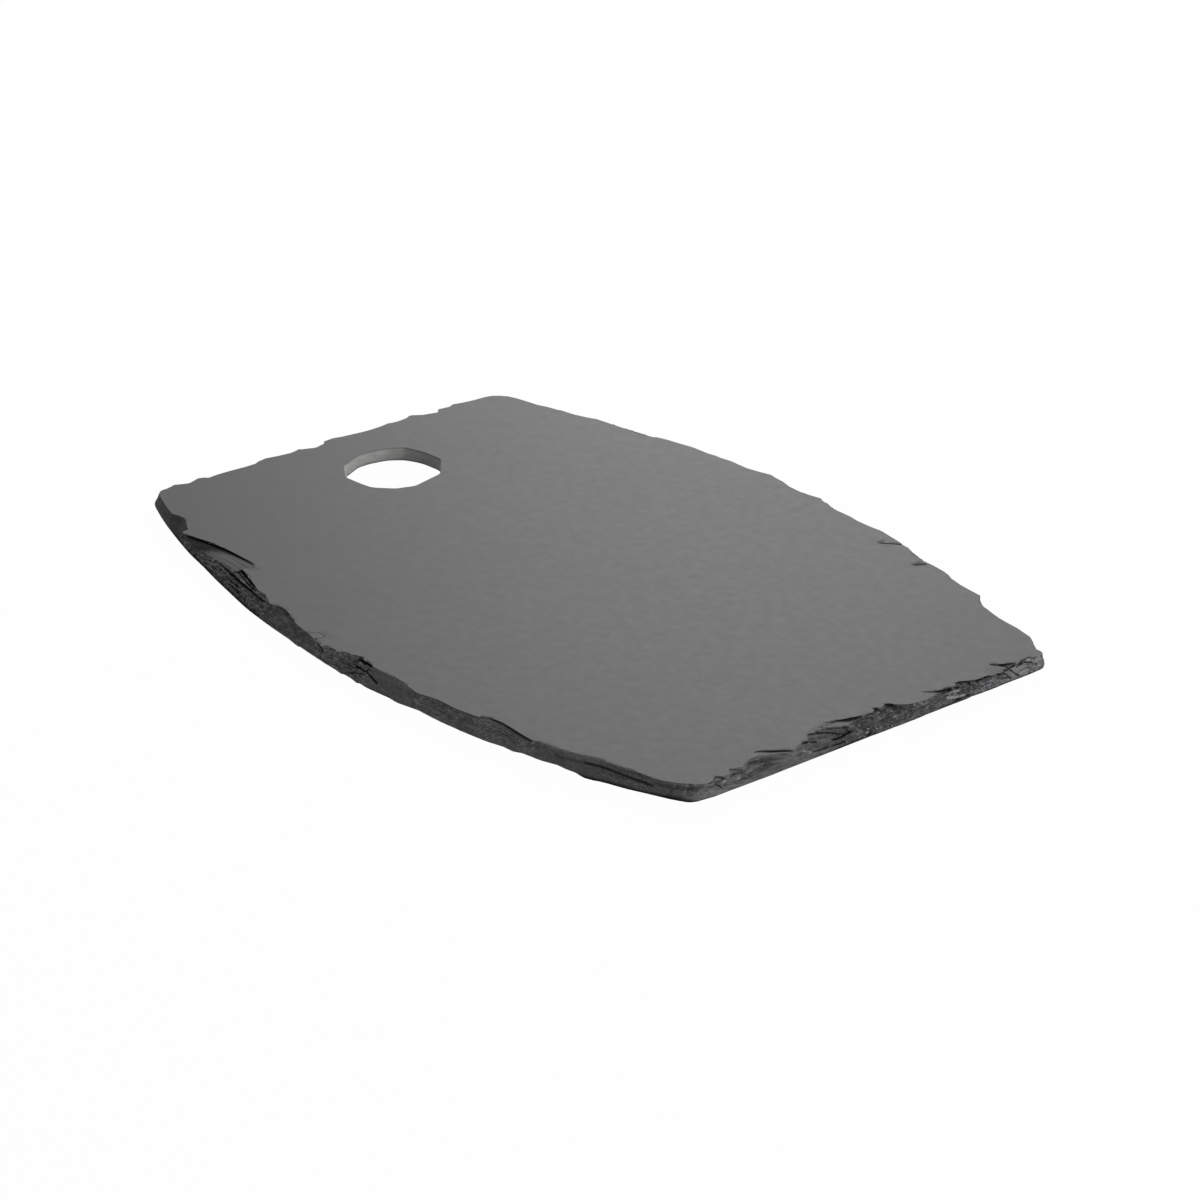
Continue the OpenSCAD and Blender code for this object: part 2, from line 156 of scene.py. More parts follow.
# Rim where the serving face ends: share and inset
RIM = {
    NEAR: [
        (-1.05, 1.2), (-1, 1.2), (-0.975, 0.4), (-0.92, 0.5), (-0.86, 0.9), (-0.85, 2.3), (-0.827, 4.1),
        (-0.81, 4.1), (-0.783, 3.3), (-0.757, 2.6), (-0.753, 1.4), (-0.749, 0.2), (-0.741, 0.1),
        (-0.737, 0.2), (-0.72, 0.5), (-0.7, 0.9), (-0.676, 1.2), (-0.655, 1.4), (-0.635, 1.5),
        (-0.615, 1.6), (-0.6, 2), (-0.574, 3.6), (-0.527, 4), (-0.51, 4.4), (-0.497, 4.7), (-0.487, 8.2),
        (-0.45, 7.9), (-0.42, 7.2), (-0.4, 6.6), (-0.38, 6), (-0.36, 5.6), (-0.34, 5.9), (-0.325, 6.2),
        (-0.31, 6), (-0.29, 4.4), (-0.28, 3.8), (-0.27, 4), (-0.25, 5.8), (-0.235, 5.9), (-0.215, 5.8),
        (-0.2, 4.7), (-0.17, 3.8), (-0.14, 3.2), (-0.1, 2.8), (-0.075, 2.3), (-0.045, 0.9), (-0.025, 0.7),
        (0, 2.4), (0.02, 2.6), (0.025, 3.8), (0.035, 4.7), (0.05, 4.8), (0.06, 5.8), (0.075, 6.2),
        (0.1, 5.2), (0.125, 4.6), (0.16, 4.6), (0.2, 5), (0.24, 4.7), (0.26, 3.5), (0.29, 2.6),
        (0.3, 2.6), (0.34, 3.6), (0.36, 3.8), (0.4, 3.2), (0.42, 3.2), (0.46, 3.5), (0.475, 4),
        (0.495, 5.5), (0.51, 5.9), (0.53, 5.8), (0.57, 4.4), (0.6, 3.1), (0.63, 2.1), (0.64, 2.7),
        (0.66, 3.1), (0.72, 2.7), (0.76, 4), (0.8, 5), (0.81, 4.1), (0.84, 3.9), (0.88, 3.5), (0.93, 2.3),
        (0.96, 2.2), (0.98, 3), (1, 4),
    ],
    PLAIN: [
        (-1.1, 4), (-1.04, 4.4), (-1, 3.2), (-0.97, 1.6), (-0.95, 1.2), (-0.92, 1.4), (-0.905, 2.3),
        (-0.89, 3), (-0.875, 2.7), (-0.86, 1.8), (-0.82, 1.8), (-0.805, 3.6), (-0.795, 4), (-0.78, 3.7),
        (-0.74, 2.6), (-0.715, 3.8), (-0.7, 4.5), (-0.68, 4.9), (-0.63, 4.8), (-0.6, 4.5), (-0.57, 3.9),
        (-0.54, 2.8), (-0.51, 1.7), (-0.485, 0.9), (-0.475, 1), (-0.45, 1.8), (-0.43, 2.6), (-0.4, 3),
        (-0.38, 3), (-0.36, 3.4), (-0.34, 5.5), (-0.325, 6.2), (-0.3, 5.6), (-0.28, 6.2), (-0.265, 6),
        (-0.25, 5.7), (-0.21, 5.6), (-0.18, 4.7), (-0.155, 4), (-0.13, 4), (-0.1, 4.8), (-0.07, 5.1),
        (-0.05, 5), (-0.02, 4.9), (0, 5.2), (0.025, 5), (0.035, 4.3), (0.045, 5.4), (0.06, 6.3),
        (0.075, 7.2), (0.085, 6.7), (0.09, 6), (0.11, 5.9), (0.13, 6.8), (0.145, 7), (0.155, 6.3),
        (0.165, 5), (0.18, 3.9), (0.21, 2.2), (0.25, 1.3), (0.3, 0.9), (0.33, 1.1), (0.345, 1.2),
        (0.36, 1.6), (0.38, 2), (0.4, 2.4), (0.42, 2.2), (0.44, 2.2), (0.47, 1.7), (0.485, 1.2),
        (0.49, 1.5), (0.51, 3), (0.53, 4), (0.545, 3.8), (0.56, 3), (0.6, 2), (0.61, 1.3), (0.65, 0.8),
        (0.67, 1.2), (0.685, 1.2), (0.7, 0.1), (0.75, 0.2), (0.772, 0.4), (0.79, 0.7), (0.805, 1.1),
        (0.83, 1.8), (0.86, 1.8), (0.88, 2), (0.9, 2.4), (0.915, 1.9), (0.93, 1.8), (0.96, 2.3),
        (0.97, 1.6), (1, 1), (1.026, 0.6),
    ],
    FAR: [
        (-1.04, 4.8), (-1, 4.7), (-0.99, 3.7), (-0.968, 2.6), (-0.94, 2.7), (-0.9, 3.6), (-0.87, 4.3),
        (-0.845, 4), (-0.81, 4.3), (-0.8, 4), (-0.755, 4.7), (-0.72, 4.3), (-0.69, 3.5), (-0.65, 4),
        (-0.62, 4.7), (-0.6, 4.6), (-0.54, 5.5), (-0.51, 5), (-0.495, 3.7), (-0.47, 3.1), (-0.43, 2.8),
        (-0.385, 2.3), (-0.33, 2.8), (-0.31, 2.4), (-0.29, 2.6), (-0.26, 2.2), (-0.2, 2.8), (-0.16, 1.8),
        (-0.13, 0.7), (-0.11, 1.4), (-0.08, 1.8), (-0.048, 3.1), (-0.01, 3.4), (0.02, 2.8), (0.054, 1.5),
        (0.066, 2.3), (0.1, 3.5), (0.13, 4), (0.18, 3.5), (0.21, 3.8), (0.25, 3.2), (0.29, 2.1),
        (0.36, 2.3), (0.41, 3), (0.435, 4.3), (0.47, 4.4), (0.51, 3.3), (0.55, 2.7), (0.575, 2.8),
        (0.592, 3.4), (0.63, 3.3), (0.665, 2.6), (0.702, 1.5), (0.708, 2.2), (0.724, 3.7), (0.736, 4.7),
        (0.776, 4.8), (0.82, 4.2), (0.85, 3.3), (0.885, 1.9), (0.936, 0.8), (0.95, 1.1), (0.98, 2.3),
        (1, 2.6), (1.02, 1.2), (1.035, 0.6),
    ],
    GRIP: [
        (-1.1, 1.1), (-1.05, 2.8), (-1.02, 3.2), (-0.99, 2.9), (-0.96, 2), (-0.9, 3.9), (-0.88, 4),
        (-0.82, 2.3), (-0.79, 3.1), (-0.775, 4.3), (-0.72, 3.8), (-0.65, 3.8), (-0.55, 4.2), (-0.49, 4),
        (-0.46, 2.8), (-0.41, 2.1), (-0.34, 3.1), (-0.27, 3.6), (-0.24, 3.2), (-0.21, 2.4), (-0.2, 3.2),
        (-0.13, 5.2), (-0.07, 4), (-0.05, 2.2), (0.01, 1.7), (0.05, 2.5), (0.15, 3.4), (0.22, 3.8),
        (0.3, 3.4), (0.35, 2.7), (0.37, 3.2), (0.41, 3.3), (0.47, 2.6), (0.49, 1.7), (0.51, 1.5),
        (0.56, 3.9), (0.64, 5.4), (0.65, 5), (0.67, 3.1), (0.74, 3.7), (0.77, 2.4), (0.82, 3.3),
        (0.9, 4.1), (0.96, 4.1), (1, 4.7), (1.05, 4.9), (1.09, 4.8),
    ],
}
# How far the rim lies below the serving face where a flake came off: share and drop
RIM_DROP = {
    NEAR: [
        (-0.737, 0), (-0.72, 2.3), (-0.7, 3.1), (-0.676, 3.1), (-0.655, 2.8), (-0.635, 2.3),
        (-0.615, 1.9), (-0.6, 1.6), (-0.574, 1.35), (-0.527, 1.3), (-0.51, 1.25), (-0.497, 1.2),
        (-0.487, 0),
    ],
    PLAIN: [
        (-0.63, 0), (-0.6, 0.1), (-0.57, 0.2), (-0.54, 0.3), (-0.51, 0.35), (-0.485, 0.3), (-0.475, 0),
        (-0.3, 0), (-0.28, 0.1), (-0.265, 0.15), (-0.25, 0.2), (-0.21, 0.3), (-0.18, 0.4), (-0.155, 0.5),
        (-0.13, 0.6), (-0.1, 0.7), (-0.07, 0.75), (-0.05, 0.75), (-0.02, 0.35), (0, 0), (0.33, 0),
        (0.345, 0.1), (0.36, 0.2), (0.38, 0.3), (0.4, 0.5), (0.42, 0.8), (0.44, 0.9), (0.47, 0.9),
        (0.485, 0.4), (0.49, 0), (0.7, 0), (0.75, 0.1), (0.772, 0.2), (0.79, 0.35), (0.805, 0.45),
        (0.83, 0.5), (0.86, 0.45), (0.88, 0),
    ],
}
# Foot where the underside ends: share and inset
FOOT = {
    NEAR: [
        (-1.03, -0.7), (-0.985, -1.1), (-0.93, -1), (-0.87, -0.8), (-0.81, -0.5), (-0.69, 0),
        (-0.61, 0.7), (-0.47, 0.7), (-0.365, 0.3), (-0.26, 0.4), (-0.16, 0.6), (-0.115, 0.1),
        (-0.109, 0.5), (-0.057, 0.4), (0.034, 0), (0.059, -0.4), (0.064, 0.1), (0.091, 0.1),
        (0.106, -0.5), (0.118, -0.7), (0.122, -0.1), (0.148, -0.4), (0.22, 0.2), (0.25, -0.2), (0.31, 1),
        (0.35, 0.6), (0.4, 0.2), (0.51, -0.2), (0.56, 0.5), (0.59, 0.1), (0.61, 0.9), (0.66, 0.5),
        (0.7, 1.1), (0.752, 0.2), (0.766, -0.6), (0.78, -1.1), (0.8, -0.9), (0.82, -0.3), (0.87, 0),
        (0.94, 0.9), (0.97, 1.1), (1, 1.6),
    ],
    PLAIN: [
        (-1.1, 1.8), (-1, 1.2), (-0.92, 0.5), (-0.81, 0.3), (-0.71, 0.1), (-0.61, 0), (-0.41, 0.1),
        (0, 0.2), (0.2, 0), (0.4, 0.1), (0.53, 0.2), (0.58, 0.5), (0.62, 0.3), (0.7, 0.1), (0.8, 0.2),
        (0.9, 0.3), (1.03, 0.4),
    ],
}
# Stretches whose wall is a flat facet from foot to rim: share and how flat
FACETS = {
    NEAR: [
        (-1.03, 0), (-0.99, 1), (-0.757, 1), (-0.745, 0), (0.145, 0), (0.165, 1), (0.265, 1), (0.29, 0),
    ],
    FAR: [
        (0.64, 0), (0.7, 1), (1.03, 1),
    ],
}
# Painted shade along the lower arris: share, height and how dark
PAINTED_ARRIS_SHADE = {
    NEAR: [
        (-1, 0.5, 0.6), (-0.83, 0.6, 0.7), (-0.78, 1.4, 0.85), (-0.25, 1.3, 0.8), (-0.2, 0.6, 0.7),
        (0, 0.5, 0.6), (0.6, 0.4, 0.6), (0.75, 0.6, 0.8), (0.78, 1.2, 1), (0.95, 1.5, 1), (0.97, 2.1, 1),
        (1, 2.4, 1),
    ],
    PLAIN: [
        (-1.1, 2.4, 1), (-1.06, 2.1, 1), (-1.02, 1.2, 0.8), (-0.98, 0.4, 0.3), (-0.35, 0.3, 0.2),
        (-0.3, 0.6, 0.9), (-0.1, 0.7, 1), (0.2, 0.4, 0.7), (0.36, 0.5, 0.8), (0.4, 0.9, 1), (0.5, 0.9, 1),
        (0.55, 0.5, 0.8), (0.75, 0.7, 1), (1.05, 0.7, 1),
    ],
}

# Flakes off the serving face, each with its side: share, inset of the crest, drop below the crest, drop at
# the rim and how torn the tread is
FLAKES = [
    (NEAR, [
        (-0.737, 0.4, 0, 0, 1), (-0.72, 1.6, 0.6, 2.3, 0.7), (-0.7, 3.4, 0.8, 3.1, 0.65),
        (-0.677, 5.4, 1, 3.1, 0.6), (-0.655, 7, 1, 2.8, 0.45), (-0.635, 8.1, 0.95, 2.3, 0.25),
        (-0.61, 9.5, 0.8, 1.8, 0.15), (-0.577, 10.9, 0.65, 1.35, 0), (-0.543, 12.1, 0.5, 1.3, 0),
        (-0.51, 13, 0.35, 1.25, 0), (-0.497, 13.2, 0.2, 1.2, 0), (-0.487, 12.8, 0, 0.9, 0),
    ]),
    (PLAIN, [
        (-0.63, 7.2, 0, 0, 0), (-0.615, 7.6, 0.15, 0.05, 0), (-0.6, 7.9, 0.3, 0.1, 0),
        (-0.57, 6.6, 0.4, 0.2, 0), (-0.54, 5, 0.45, 0.3, 0.1), (-0.51, 3.4, 0.45, 0.35, 0.2),
        (-0.485, 1.8, 0.35, 0.3, 0.3), (-0.475, 1.1, 0, 0, 0),
    ]),
    (PLAIN, [
        (-0.3, 9, 0, 0, 0), (-0.28, 9, 0, 0.1, 0), (-0.25, 9.1, 0, 0.2, 0), (-0.21, 9.3, 0, 0.3, 0),
        (-0.195, 9.4, 0.12, 0.35, 0), (-0.17, 8.7, 0.25, 0.45, 0), (-0.14, 8.2, 0.4, 0.55, 0),
        (-0.12, 7.6, 0.5, 0.6, 0), (-0.1, 7.1, 0.6, 0.7, 0.3), (-0.07, 6.6, 0.65, 0.75, 0.6),
        (-0.05, 6.1, 0.65, 0.75, 0.8), (-0.02, 5.4, 0.35, 0.35, 0.8), (0, 5.2, 0, 0, 0),
    ]),
    (PLAIN, [
        (0.33, 5.6, 0, 0, 0), (0.345, 5.8, 0.1, 0.1, 0), (0.36, 5.2, 0.2, 0.2, 0),
        (0.38, 4.2, 0.3, 0.3, 0.2), (0.4, 3.5, 0.45, 0.5, 0.5), (0.42, 2.9, 0.7, 0.8, 0.6),
        (0.44, 2.75, 0.8, 0.9, 0.7), (0.47, 2.2, 0.8, 0.9, 0.7), (0.485, 1.6, 0.4, 0.4, 0.5),
        (0.495, 1.5, 0, 0, 0),
    ]),
    (PLAIN, [
        (0.7, 4.5, 0, 0, 0), (0.75, 5.5, 0, 0.1, 0), (0.765, 6.2, 0.1, 0.15, 0),
        (0.772, 6.3, 0.2, 0.2, 0), (0.79, 5.4, 0.4, 0.35, 0), (0.805, 4.6, 0.5, 0.45, 0),
        (0.83, 3.8, 0.5, 0.5, 0.3), (0.86, 2.8, 0.4, 0.45, 0.4), (0.88, 2.1, 0, 0, 0),
    ]),
]
# Stretches of the near edge with a wall of their own, the pleats of torn laminae beside the big flake and
# the roll-over with a ridge under it: share, then inset and height of each point from the underside up
WALLS = [
    [
        (-0.488, [(0.7, 2), (1.4, 3.3), (3.6, 4.7), (4.7, 5.3), (5.1, 5.7), (7.6, 6.2), (8.2, 7)]),
        (-0.45, [(0.7, 2), (1.3, 3.2), (3.6, 4.6), (4.6, 5.2), (5.1, 5.8), (7.2, 6.1), (7.9, 7)]),
        (-0.4, [(0.5, 2), (1.2, 3.2), (3.5, 4.5), (4.5, 5.1), (5, 5.7), (6, 6.1), (6.6, 7)]),
        (-0.36, [(0.3, 2), (1.1, 3.2), (3.4, 4.4), (4.2, 5), (4.6, 5.6), (5.2, 6.2), (5.6, 7)]),
        (-0.33, [(0.3, 2), (1, 3.2), (3.3, 4.4), (4.1, 5), (4.6, 5.6), (5.5, 6.1), (6.1, 7)]),
        (-0.29, [(0.4, 2), (0.9, 3.2), (2.2, 4.4), (2.8, 5), (3.3, 5.6), (3.9, 6.2), (4.4, 7)]),
    ],
    [
        (0.64, [(0.6, 2), (0.3, 2.9), (0.7, 4.3), (1.1, 5.4), (1.6, 6.2), (2.1, 6.7), (2.7, 7)]),
        (0.66, [(0.5, 2), (0.2, 2.9), (0.5, 4.2), (0.9, 5.2), (1.5, 6.1), (2.3, 6.7), (3.2, 7)]),
        (0.7, [(1.1, 2), (0.4, 2.9), (0.6, 4.2), (0.8, 5.1), (1.3, 6), (2, 6.7), (3.1, 7)]),
        (0.724, [(0.5, 2), (0.1, 2.9), (0.7, 4.3), (0.8, 5.2), (1.2, 6.1), (1.9, 6.7), (3.1, 7)]),
        (0.752, [(0.2, 2), (-0.1, 2.8), (1.3, 4.4), (1.7, 5.3), (2.1, 6.2), (2.7, 6.7), (3.9, 7)]),
        (0.766, [(-0.6, 2), (-0.7, 2.8), (1.6, 4.5), (2, 5.4), (2.4, 6.2), (3, 6.7), (4.3, 7)]),
        (0.78, [(-1.1, 2), (-1.1, 2.8), (1.7, 4.5), (2.1, 5.4), (2.5, 6.2), (3.2, 6.7), (4.6, 7)]),
        (0.8, [(-0.9, 2), (-0.9, 2.8), (1.8, 4.5), (2.2, 5.5), (2.8, 6.2), (3.6, 6.7), (5, 7)]),
        (0.81, [(-0.5, 2), (-0.7, 2.8), (1.8, 4.5), (2.2, 5.5), (2.7, 6.2), (3.3, 6.7), (4.1, 7)]),
        (0.83, [(-0.2, 2), (-0.4, 2.8), (1.8, 4.5), (2.1, 5.6), (2.6, 6.2), (3.2, 6.7), (4, 7)]),
        (0.88, [(0, 2), (-0.2, 2.8), (1.5, 4.3), (1.7, 5.2), (2.2, 6.1), (2.8, 6.7), (3.5, 7)]),
        (0.92, [(0.6, 2), (0.1, 2.8), (1.2, 4.2), (1.4, 5), (1.7, 6), (2, 6.6), (2.5, 7)]),
        (0.95, [(0.9, 2), (0.3, 2.8), (1, 4.1), (1.2, 4.8), (1.5, 5.8), (1.8, 6.5), (2.2, 7)]),
        (0.98, [(1.2, 2), (0.6, 2.8), (0.9, 4), (1.2, 4.8), (1.8, 5.8), (2.4, 6.5), (3, 7)]),
    ],
]

# Slits and cracks as seen from the front corner, opened a little and painted dark with their shade: half
# width, depth, how dark, then share along the side and place on the level of the serving face, inwards from
# the outline, for each point
SLITS = {
    NEAR: [
        (0.35, 0.2, 0.8, [(-0.654, -0.1), (-0.635, 2.5), (-0.612, 5.3)]),
        (0.45, 0.4, 1, [(-0.62, -0.1), (-0.593, 0.75), (-0.573, 1.6), (-0.556, 2.4)]),
        (0.5, 0.5, 1, [(-0.547, 2.5), (-0.5, 2.8), (-0.45, 2.95), (-0.4, 2.9), (-0.343, 3), (-0.3, 2.7)]),
        (0.5, 0.3, 1, [(-0.485, 7.4), (-0.43, 6.4), (-0.38, 5.6)]),
        (0.35, 0.3, 1, [(-0.48, 5.9), (-0.44, 5), (-0.4, 4.6), (-0.36, 4.4)]),
        (0.6, 0.4, 1, [(-0.337, -2.5), (-0.328, -2.9)]),
        (0.45, 0.3, 1, [(-0.382, -2), (-0.374, -2.2)]),
        (0.45, 0.3, 0.9, [(-0.47, 0.6), (-0.44, 0.2), (-0.4, 0.4)]),
        (0.4, 0.3, 0.9, [(-0.43, -1.4), (-0.4, -1.6), (-0.37, -1.2)]),
        (0.35, 0.15, 0.9, [(-0.285, 3.3), (-0.27, 4.2), (-0.25, 5.5), (-0.23, 5.6), (-0.21, 5.2),
            (-0.19, 4.5), (-0.17, 3.8)]),
        (0.3, 0.06, 0.7, [(-0.108, 3.1), (-0.095, 3.4), (-0.087, 5.7), (-0.075, 6), (-0.062, 5.7),
            (-0.06, 3.8), (-0.067, 2.4)]),
        (0.45, 0.4, 1, [(-0.066, 2.4), (-0.05, 1.4), (-0.034, 0.5), (-0.015, -0.6), (0, -1.4)]),
        (0.4, 0.2, 0.8, [(-0.028, 0.9), (-0.015, 2), (0.009, 2.6)]),
        (0.65, 0.4, 1, [(0.08, 4.8), (0.097, 4.6), (0.11, 4.6), (0.128, 4.5)]),
        (0.45, 0.3, 1, [(0.083, 3.9), (0.087, 3.7)]),
        (0.3, 0.15, 0.9, [(0.072, 6), (0.092, 5.9), (0.128, 4.7)]),
        (0.6, 0.45, 1, [(0.103, 0.6), (0.116, 0.4), (0.126, 0.5), (0.138, 0.6)]),
        (0.4, 0.3, 1, [(0.136, 0.8), (0.135, 1.9), (0.138, 2.5)]),
        (0.45, 0.4, 1, [(0.138, 0.8), (0.16, -0.5), (0.18, -1.6), (0.2, -2.6)]),
        (0.35, 0.25, 0.9, [(0.119, -4.5), (0.13, -3), (0.145, -1.5)]),
        (0.38, 0.25, 0.75, [(0.476, 3.8), (0.485, 4.8), (0.493, 5.3), (0.518, 5), (0.55, 4.3),
            (0.594, 2.8), (0.632, 1.5)]),
        (0.7, 0.05, 0.4, [(0.71, -2.1), (0.742, -1.5), (0.775, -1.1)]),
        (0.6, 0.1, 0.8, [(0.775, -1.1), (0.8, -0.5), (0.825, -0.2), (0.86, -0.9), (0.896, -1.6),
            (0.93, -2.2), (0.949, -2.8)]),
        (1.1, 0.02, 0.38, [(0.947, -0.7), (0.973, -0.5), (0.998, 0.4), (1.024, 0.8), (1.038, 0.4)]),
    ],
    PLAIN: [
        (0.5, 0.3, 0.75, [(-0.893, 2.7), (-0.88, 1.4), (-0.866, 0)]),
        (0.35, 0.15, 0.5, [(-0.815, 0.4), (-0.782, -0.2)]),
        (0.45, 0.15, 0.45, [(-0.8, 3.8), (-0.785, 2.4), (-0.772, 1), (-0.76, -0.3)]),
        (0.35, 0.3, 0.7, [(-0.95, 0.5), (-0.92, 0.7), (-0.905, 1.6)]),
        (0.4, 0.3, 1, [(-0.935, -1.2), (-0.93, -2.5), (-0.935, -4)]),
        (0.35, 0.12, 0.45, [(-0.79, -1), (-0.77, -2.8), (-0.775, -4.5)]),
        (0.4, 0.1, 0.45, [(-0.668, 4.8), (-0.613, 5), (-0.565, 4), (-0.54, 2.2), (-0.521, 0.2)]),
        (0.45, 0.1, 0.45, [(-0.704, 3), (-0.662, 2.8), (-0.636, 0.6), (-0.63, -1.4)]),
        (0.4, 0.1, 0.5, [(-0.681, -0.7), (-0.651, -1.3)]),
        (0.35, 0.2, 0.9, [(-0.52, 3.9), (-0.5, 2.9), (-0.485, 1.8), (-0.475, 0.9)]),
        (0.55, 0.4, 1, [(-0.396, 2.8), (-0.369, 2.4), (-0.345, 0.8)]),
        (0.3, 0.2, 0.9, [(0, 4.9), (0.025, 4.5), (0.049, 4.3)]),
        (0.35, 0.2, 0.9, [(-0.117, 5.8), (-0.085, 5.1), (-0.062, 4.4)]),
        (0.3, 0.15, 0.7, [(-0.177, 7.3), (-0.147, 6)]),
        (0.3, 0.15, 0.7, [(-0.206, 7.7), (-0.184, 6.3)]),
        (0.3, 0.15, 0.8, [(-0.256, 7.7), (-0.226, 7.2), (-0.217, 5.8)]),
        (0.45, 0.35, 1, [(-0.279, 6.2), (-0.242, 5.8), (-0.212, 5.1), (-0.184, 4.2), (-0.155, 3.3),
            (-0.144, 1.8)]),
        (0.35, 0.3, 1, [(-0.324, 6.1), (-0.29, 5.3), (-0.255, 4.1), (-0.234, 2.3), (-0.214, 0.2),
            (-0.201, -1.1)]),
        (0.35, 0.3, 1, [(-0.166, 2.4), (-0.165, 0.7), (-0.158, -1.1)]),
        (0.5, 0.35, 1, [(-0.274, -1.4), (-0.252, -2.2), (-0.228, -2), (-0.203, -1.5), (-0.174, -1.2),
            (-0.154, -1.1)]),
        (0.35, 0.3, 1, [(-0.418, -4.3), (-0.369, -4.8), (-0.332, -4.5)]),
        (0.35, 0.3, 1, [(-0.312, -4.9), (-0.283, -5.3), (-0.234, -5.4)]),
        (0.5, 0.3, 1, [(-0.123, -6.5), (-0.098, -6.1)]),
        (0.4, 0.3, 1, [(0.066, 7), (0.07, 4.6)]),
        (0.4, 0.3, 1, [(0.131, 6.5), (0.15, 4.3)]),
        (0.55, 0.4, 1, [(0.43, 2.3), (0.45, 2.1), (0.469, 1.8), (0.503, 0.8)]),
        (0.35, 0.3, 1, [(0.402, 0.6), (0.457, 0.3)]),
        (0.4, 0.3, 1, [(0.407, -6.4), (0.495, -6.4)]),
        (0.35, 0.3, 0.9, [(0.516, 3.6), (0.557, 2.6), (0.568, -0.2)]),
        (0.35, 0.3, 1, [(0.597, 0.4), (0.658, 0.5), (0.681, 0)]),
        (0.55, 0.4, 1, [(0.696, -0.8), (0.733, -0.5), (0.774, -0.2), (0.806, 0.1)]),
        (0.35, 0.3, 1, [(0.814, 0.5), (0.834, 0.6), (0.863, 0.6), (0.898, 1)]),
        (0.35, 0.3, 1, [(0.772, 6.1), (0.796, 4.6), (0.807, 2.8), (0.812, 1.6), (0.81, 0.2)]),
        (0.4, 0.35, 1, [(0.807, 0), (0.801, -2.8), (0.798, -5.1), (0.798, -6.4)]),
        (0.35, 0.3, 0.9, [(0.755, -1.2), (0.757, -2.9), (0.75, -5.5), (0.75, -6.6)]),
        (0.25, 0.1, 0.5, [(0.749, 4.3), (0.753, 2.1), (0.76, 0.1)]),
        (0.35, 0.3, 1, [(0.715, -4), (0.74, -4.8), (0.76, -5.4)]),
        (0.3, 0.2, 0.9, [(0.904, 2), (0.928, 1.7), (0.962, 2.1), (0.958, 0.7)]),
        (0.35, 0.25, 0.9, [(0.85, -0.6), (0.904, 0.7), (0.937, -0.8)]),
    ],
    FAR: [
        (0.45, 0.25, 1, [(0.344, 8.6), (0.361, 5.6), (0.379, 2.6)]),
        (0.5, 0.25, 1, [(0.489, 8.9), (0.493, 6.9), (0.498, 4.8)]),
        (1, -0.035, 0, [(0.85, 29.4), (0.911, 9.8), (0.937, 0.9)]),
    ],
}
# Pale crushed spots and painted glints, seen in the same way: half width, how pale, then share and place of
# each point
CRUSHED_AND_GLINTS = {
    NEAR: [
        (0.4, 1, [(-0.325, 4.3), (-0.295, 4.1)]),
        (0.45, 0.9, [(-0.574, -1), (-0.556, -0.4), (-0.54, 0.1)]),
        (0.45, 1, [(-0.545, 1), (-0.54, 1.6)]),
        (0.45, 0.5, [(-0.516, -1.8), (-0.466, -0.2)]),
        (0.45, 0.5, [(-0.443, -0.8), (-0.405, -0.2)]),
        (0.45, 0.5, [(-0.378, 0), (-0.349, 0.5)]),
        (0.45, 0.6, [(-0.332, -1.8), (-0.304, -1.3)]),
        (0.4, 0.4, [(-0.47, 1.6), (-0.45, 1.4)]),
        (0.4, 0.4, [(-0.41, 1.6), (-0.39, 1.5)]),
        (0.45, 1, [(0.052, 4.2), (0.06, 4.2)]),
        (0.35, 0.8, [(0.067, 5.2), (0.075, 5.6)]),
        (0.35, 0.8, [(0.08, -3), (0.09, -2.8)]),
        (0.3, 0.9, [(0.3, -3.9), (0.31, -3.7)]),
        (0.3, 0.5, [(0.431, 2), (0.436, 1.5)]),
        (0.3, 0.5, [(0.468, -2.8), (0.474, -1.9)]),
        (0.45, 0.8, [(0.528, 2.8), (0.551, 2.8)]),
        (0.4, 0.6, [(0.556, 3.3), (0.575, 3.2)]),
        (0.4, 0.4, [(0.607, 0.3), (0.626, -0.5)]),
    ],
    PLAIN: [
        (0.5, 0.8, [(-0.898, 1.1), (-0.883, 0.5)]),
        (0.6, 0.9, [(-0.895, -1.4), (-0.88, -1.3)]),
        (0.55, 0.8, [(-0.83, -3.3), (-0.818, -3.1)]),
        (0.5, 0.9, [(-0.443, -1.9), (-0.432, -3), (-0.423, -3.6)]),
        (0.3, 0.6, [(-0.122, 2.8), (-0.123, -0.6), (-0.135, -3.5)]),
        (0.45, 0.8, [(-0.126, 3.2), (-0.12, 3.2)]),
        (0.6, 0.4, [(-0.18, 6.5), (-0.123, 3.2)]),
        (0.45, 0.8, [(-0.024, 1.7), (-0.015, 2.1)]),
        (0.5, 0.9, [(-0.116, -5.4), (-0.106, -5.4)]),
        (0.45, 0.6, [(0.04, 3.4), (0.06, 3.2)]),
        (0.35, 0.6, [(0.08, -2.4), (0.1, -1.4)]),
        (0.5, 0.9, [(0.407, 0.2), (0.45, -0.3), (0.481, -1.6)]),
        (0.6, 0.9, [(0.391, -3.2), (0.432, -4.6), (0.473, -5.1)]),
        (0.35, 0.6, [(0.25, -4.2), (0.26, -4)]),
        (2.2, 0.35, [(0.835, -1.6), (0.858, -4.2)]),
        (0.4, 0.8, [(0.929, 1.3), (0.954, 1)]),
        (0.45, 0.8, [(0.959, -0.7), (0.959, -2)]),
        (0.45, 0.8, [(0.934, -4.9), (0.948, -5.2)]),
    ],
}
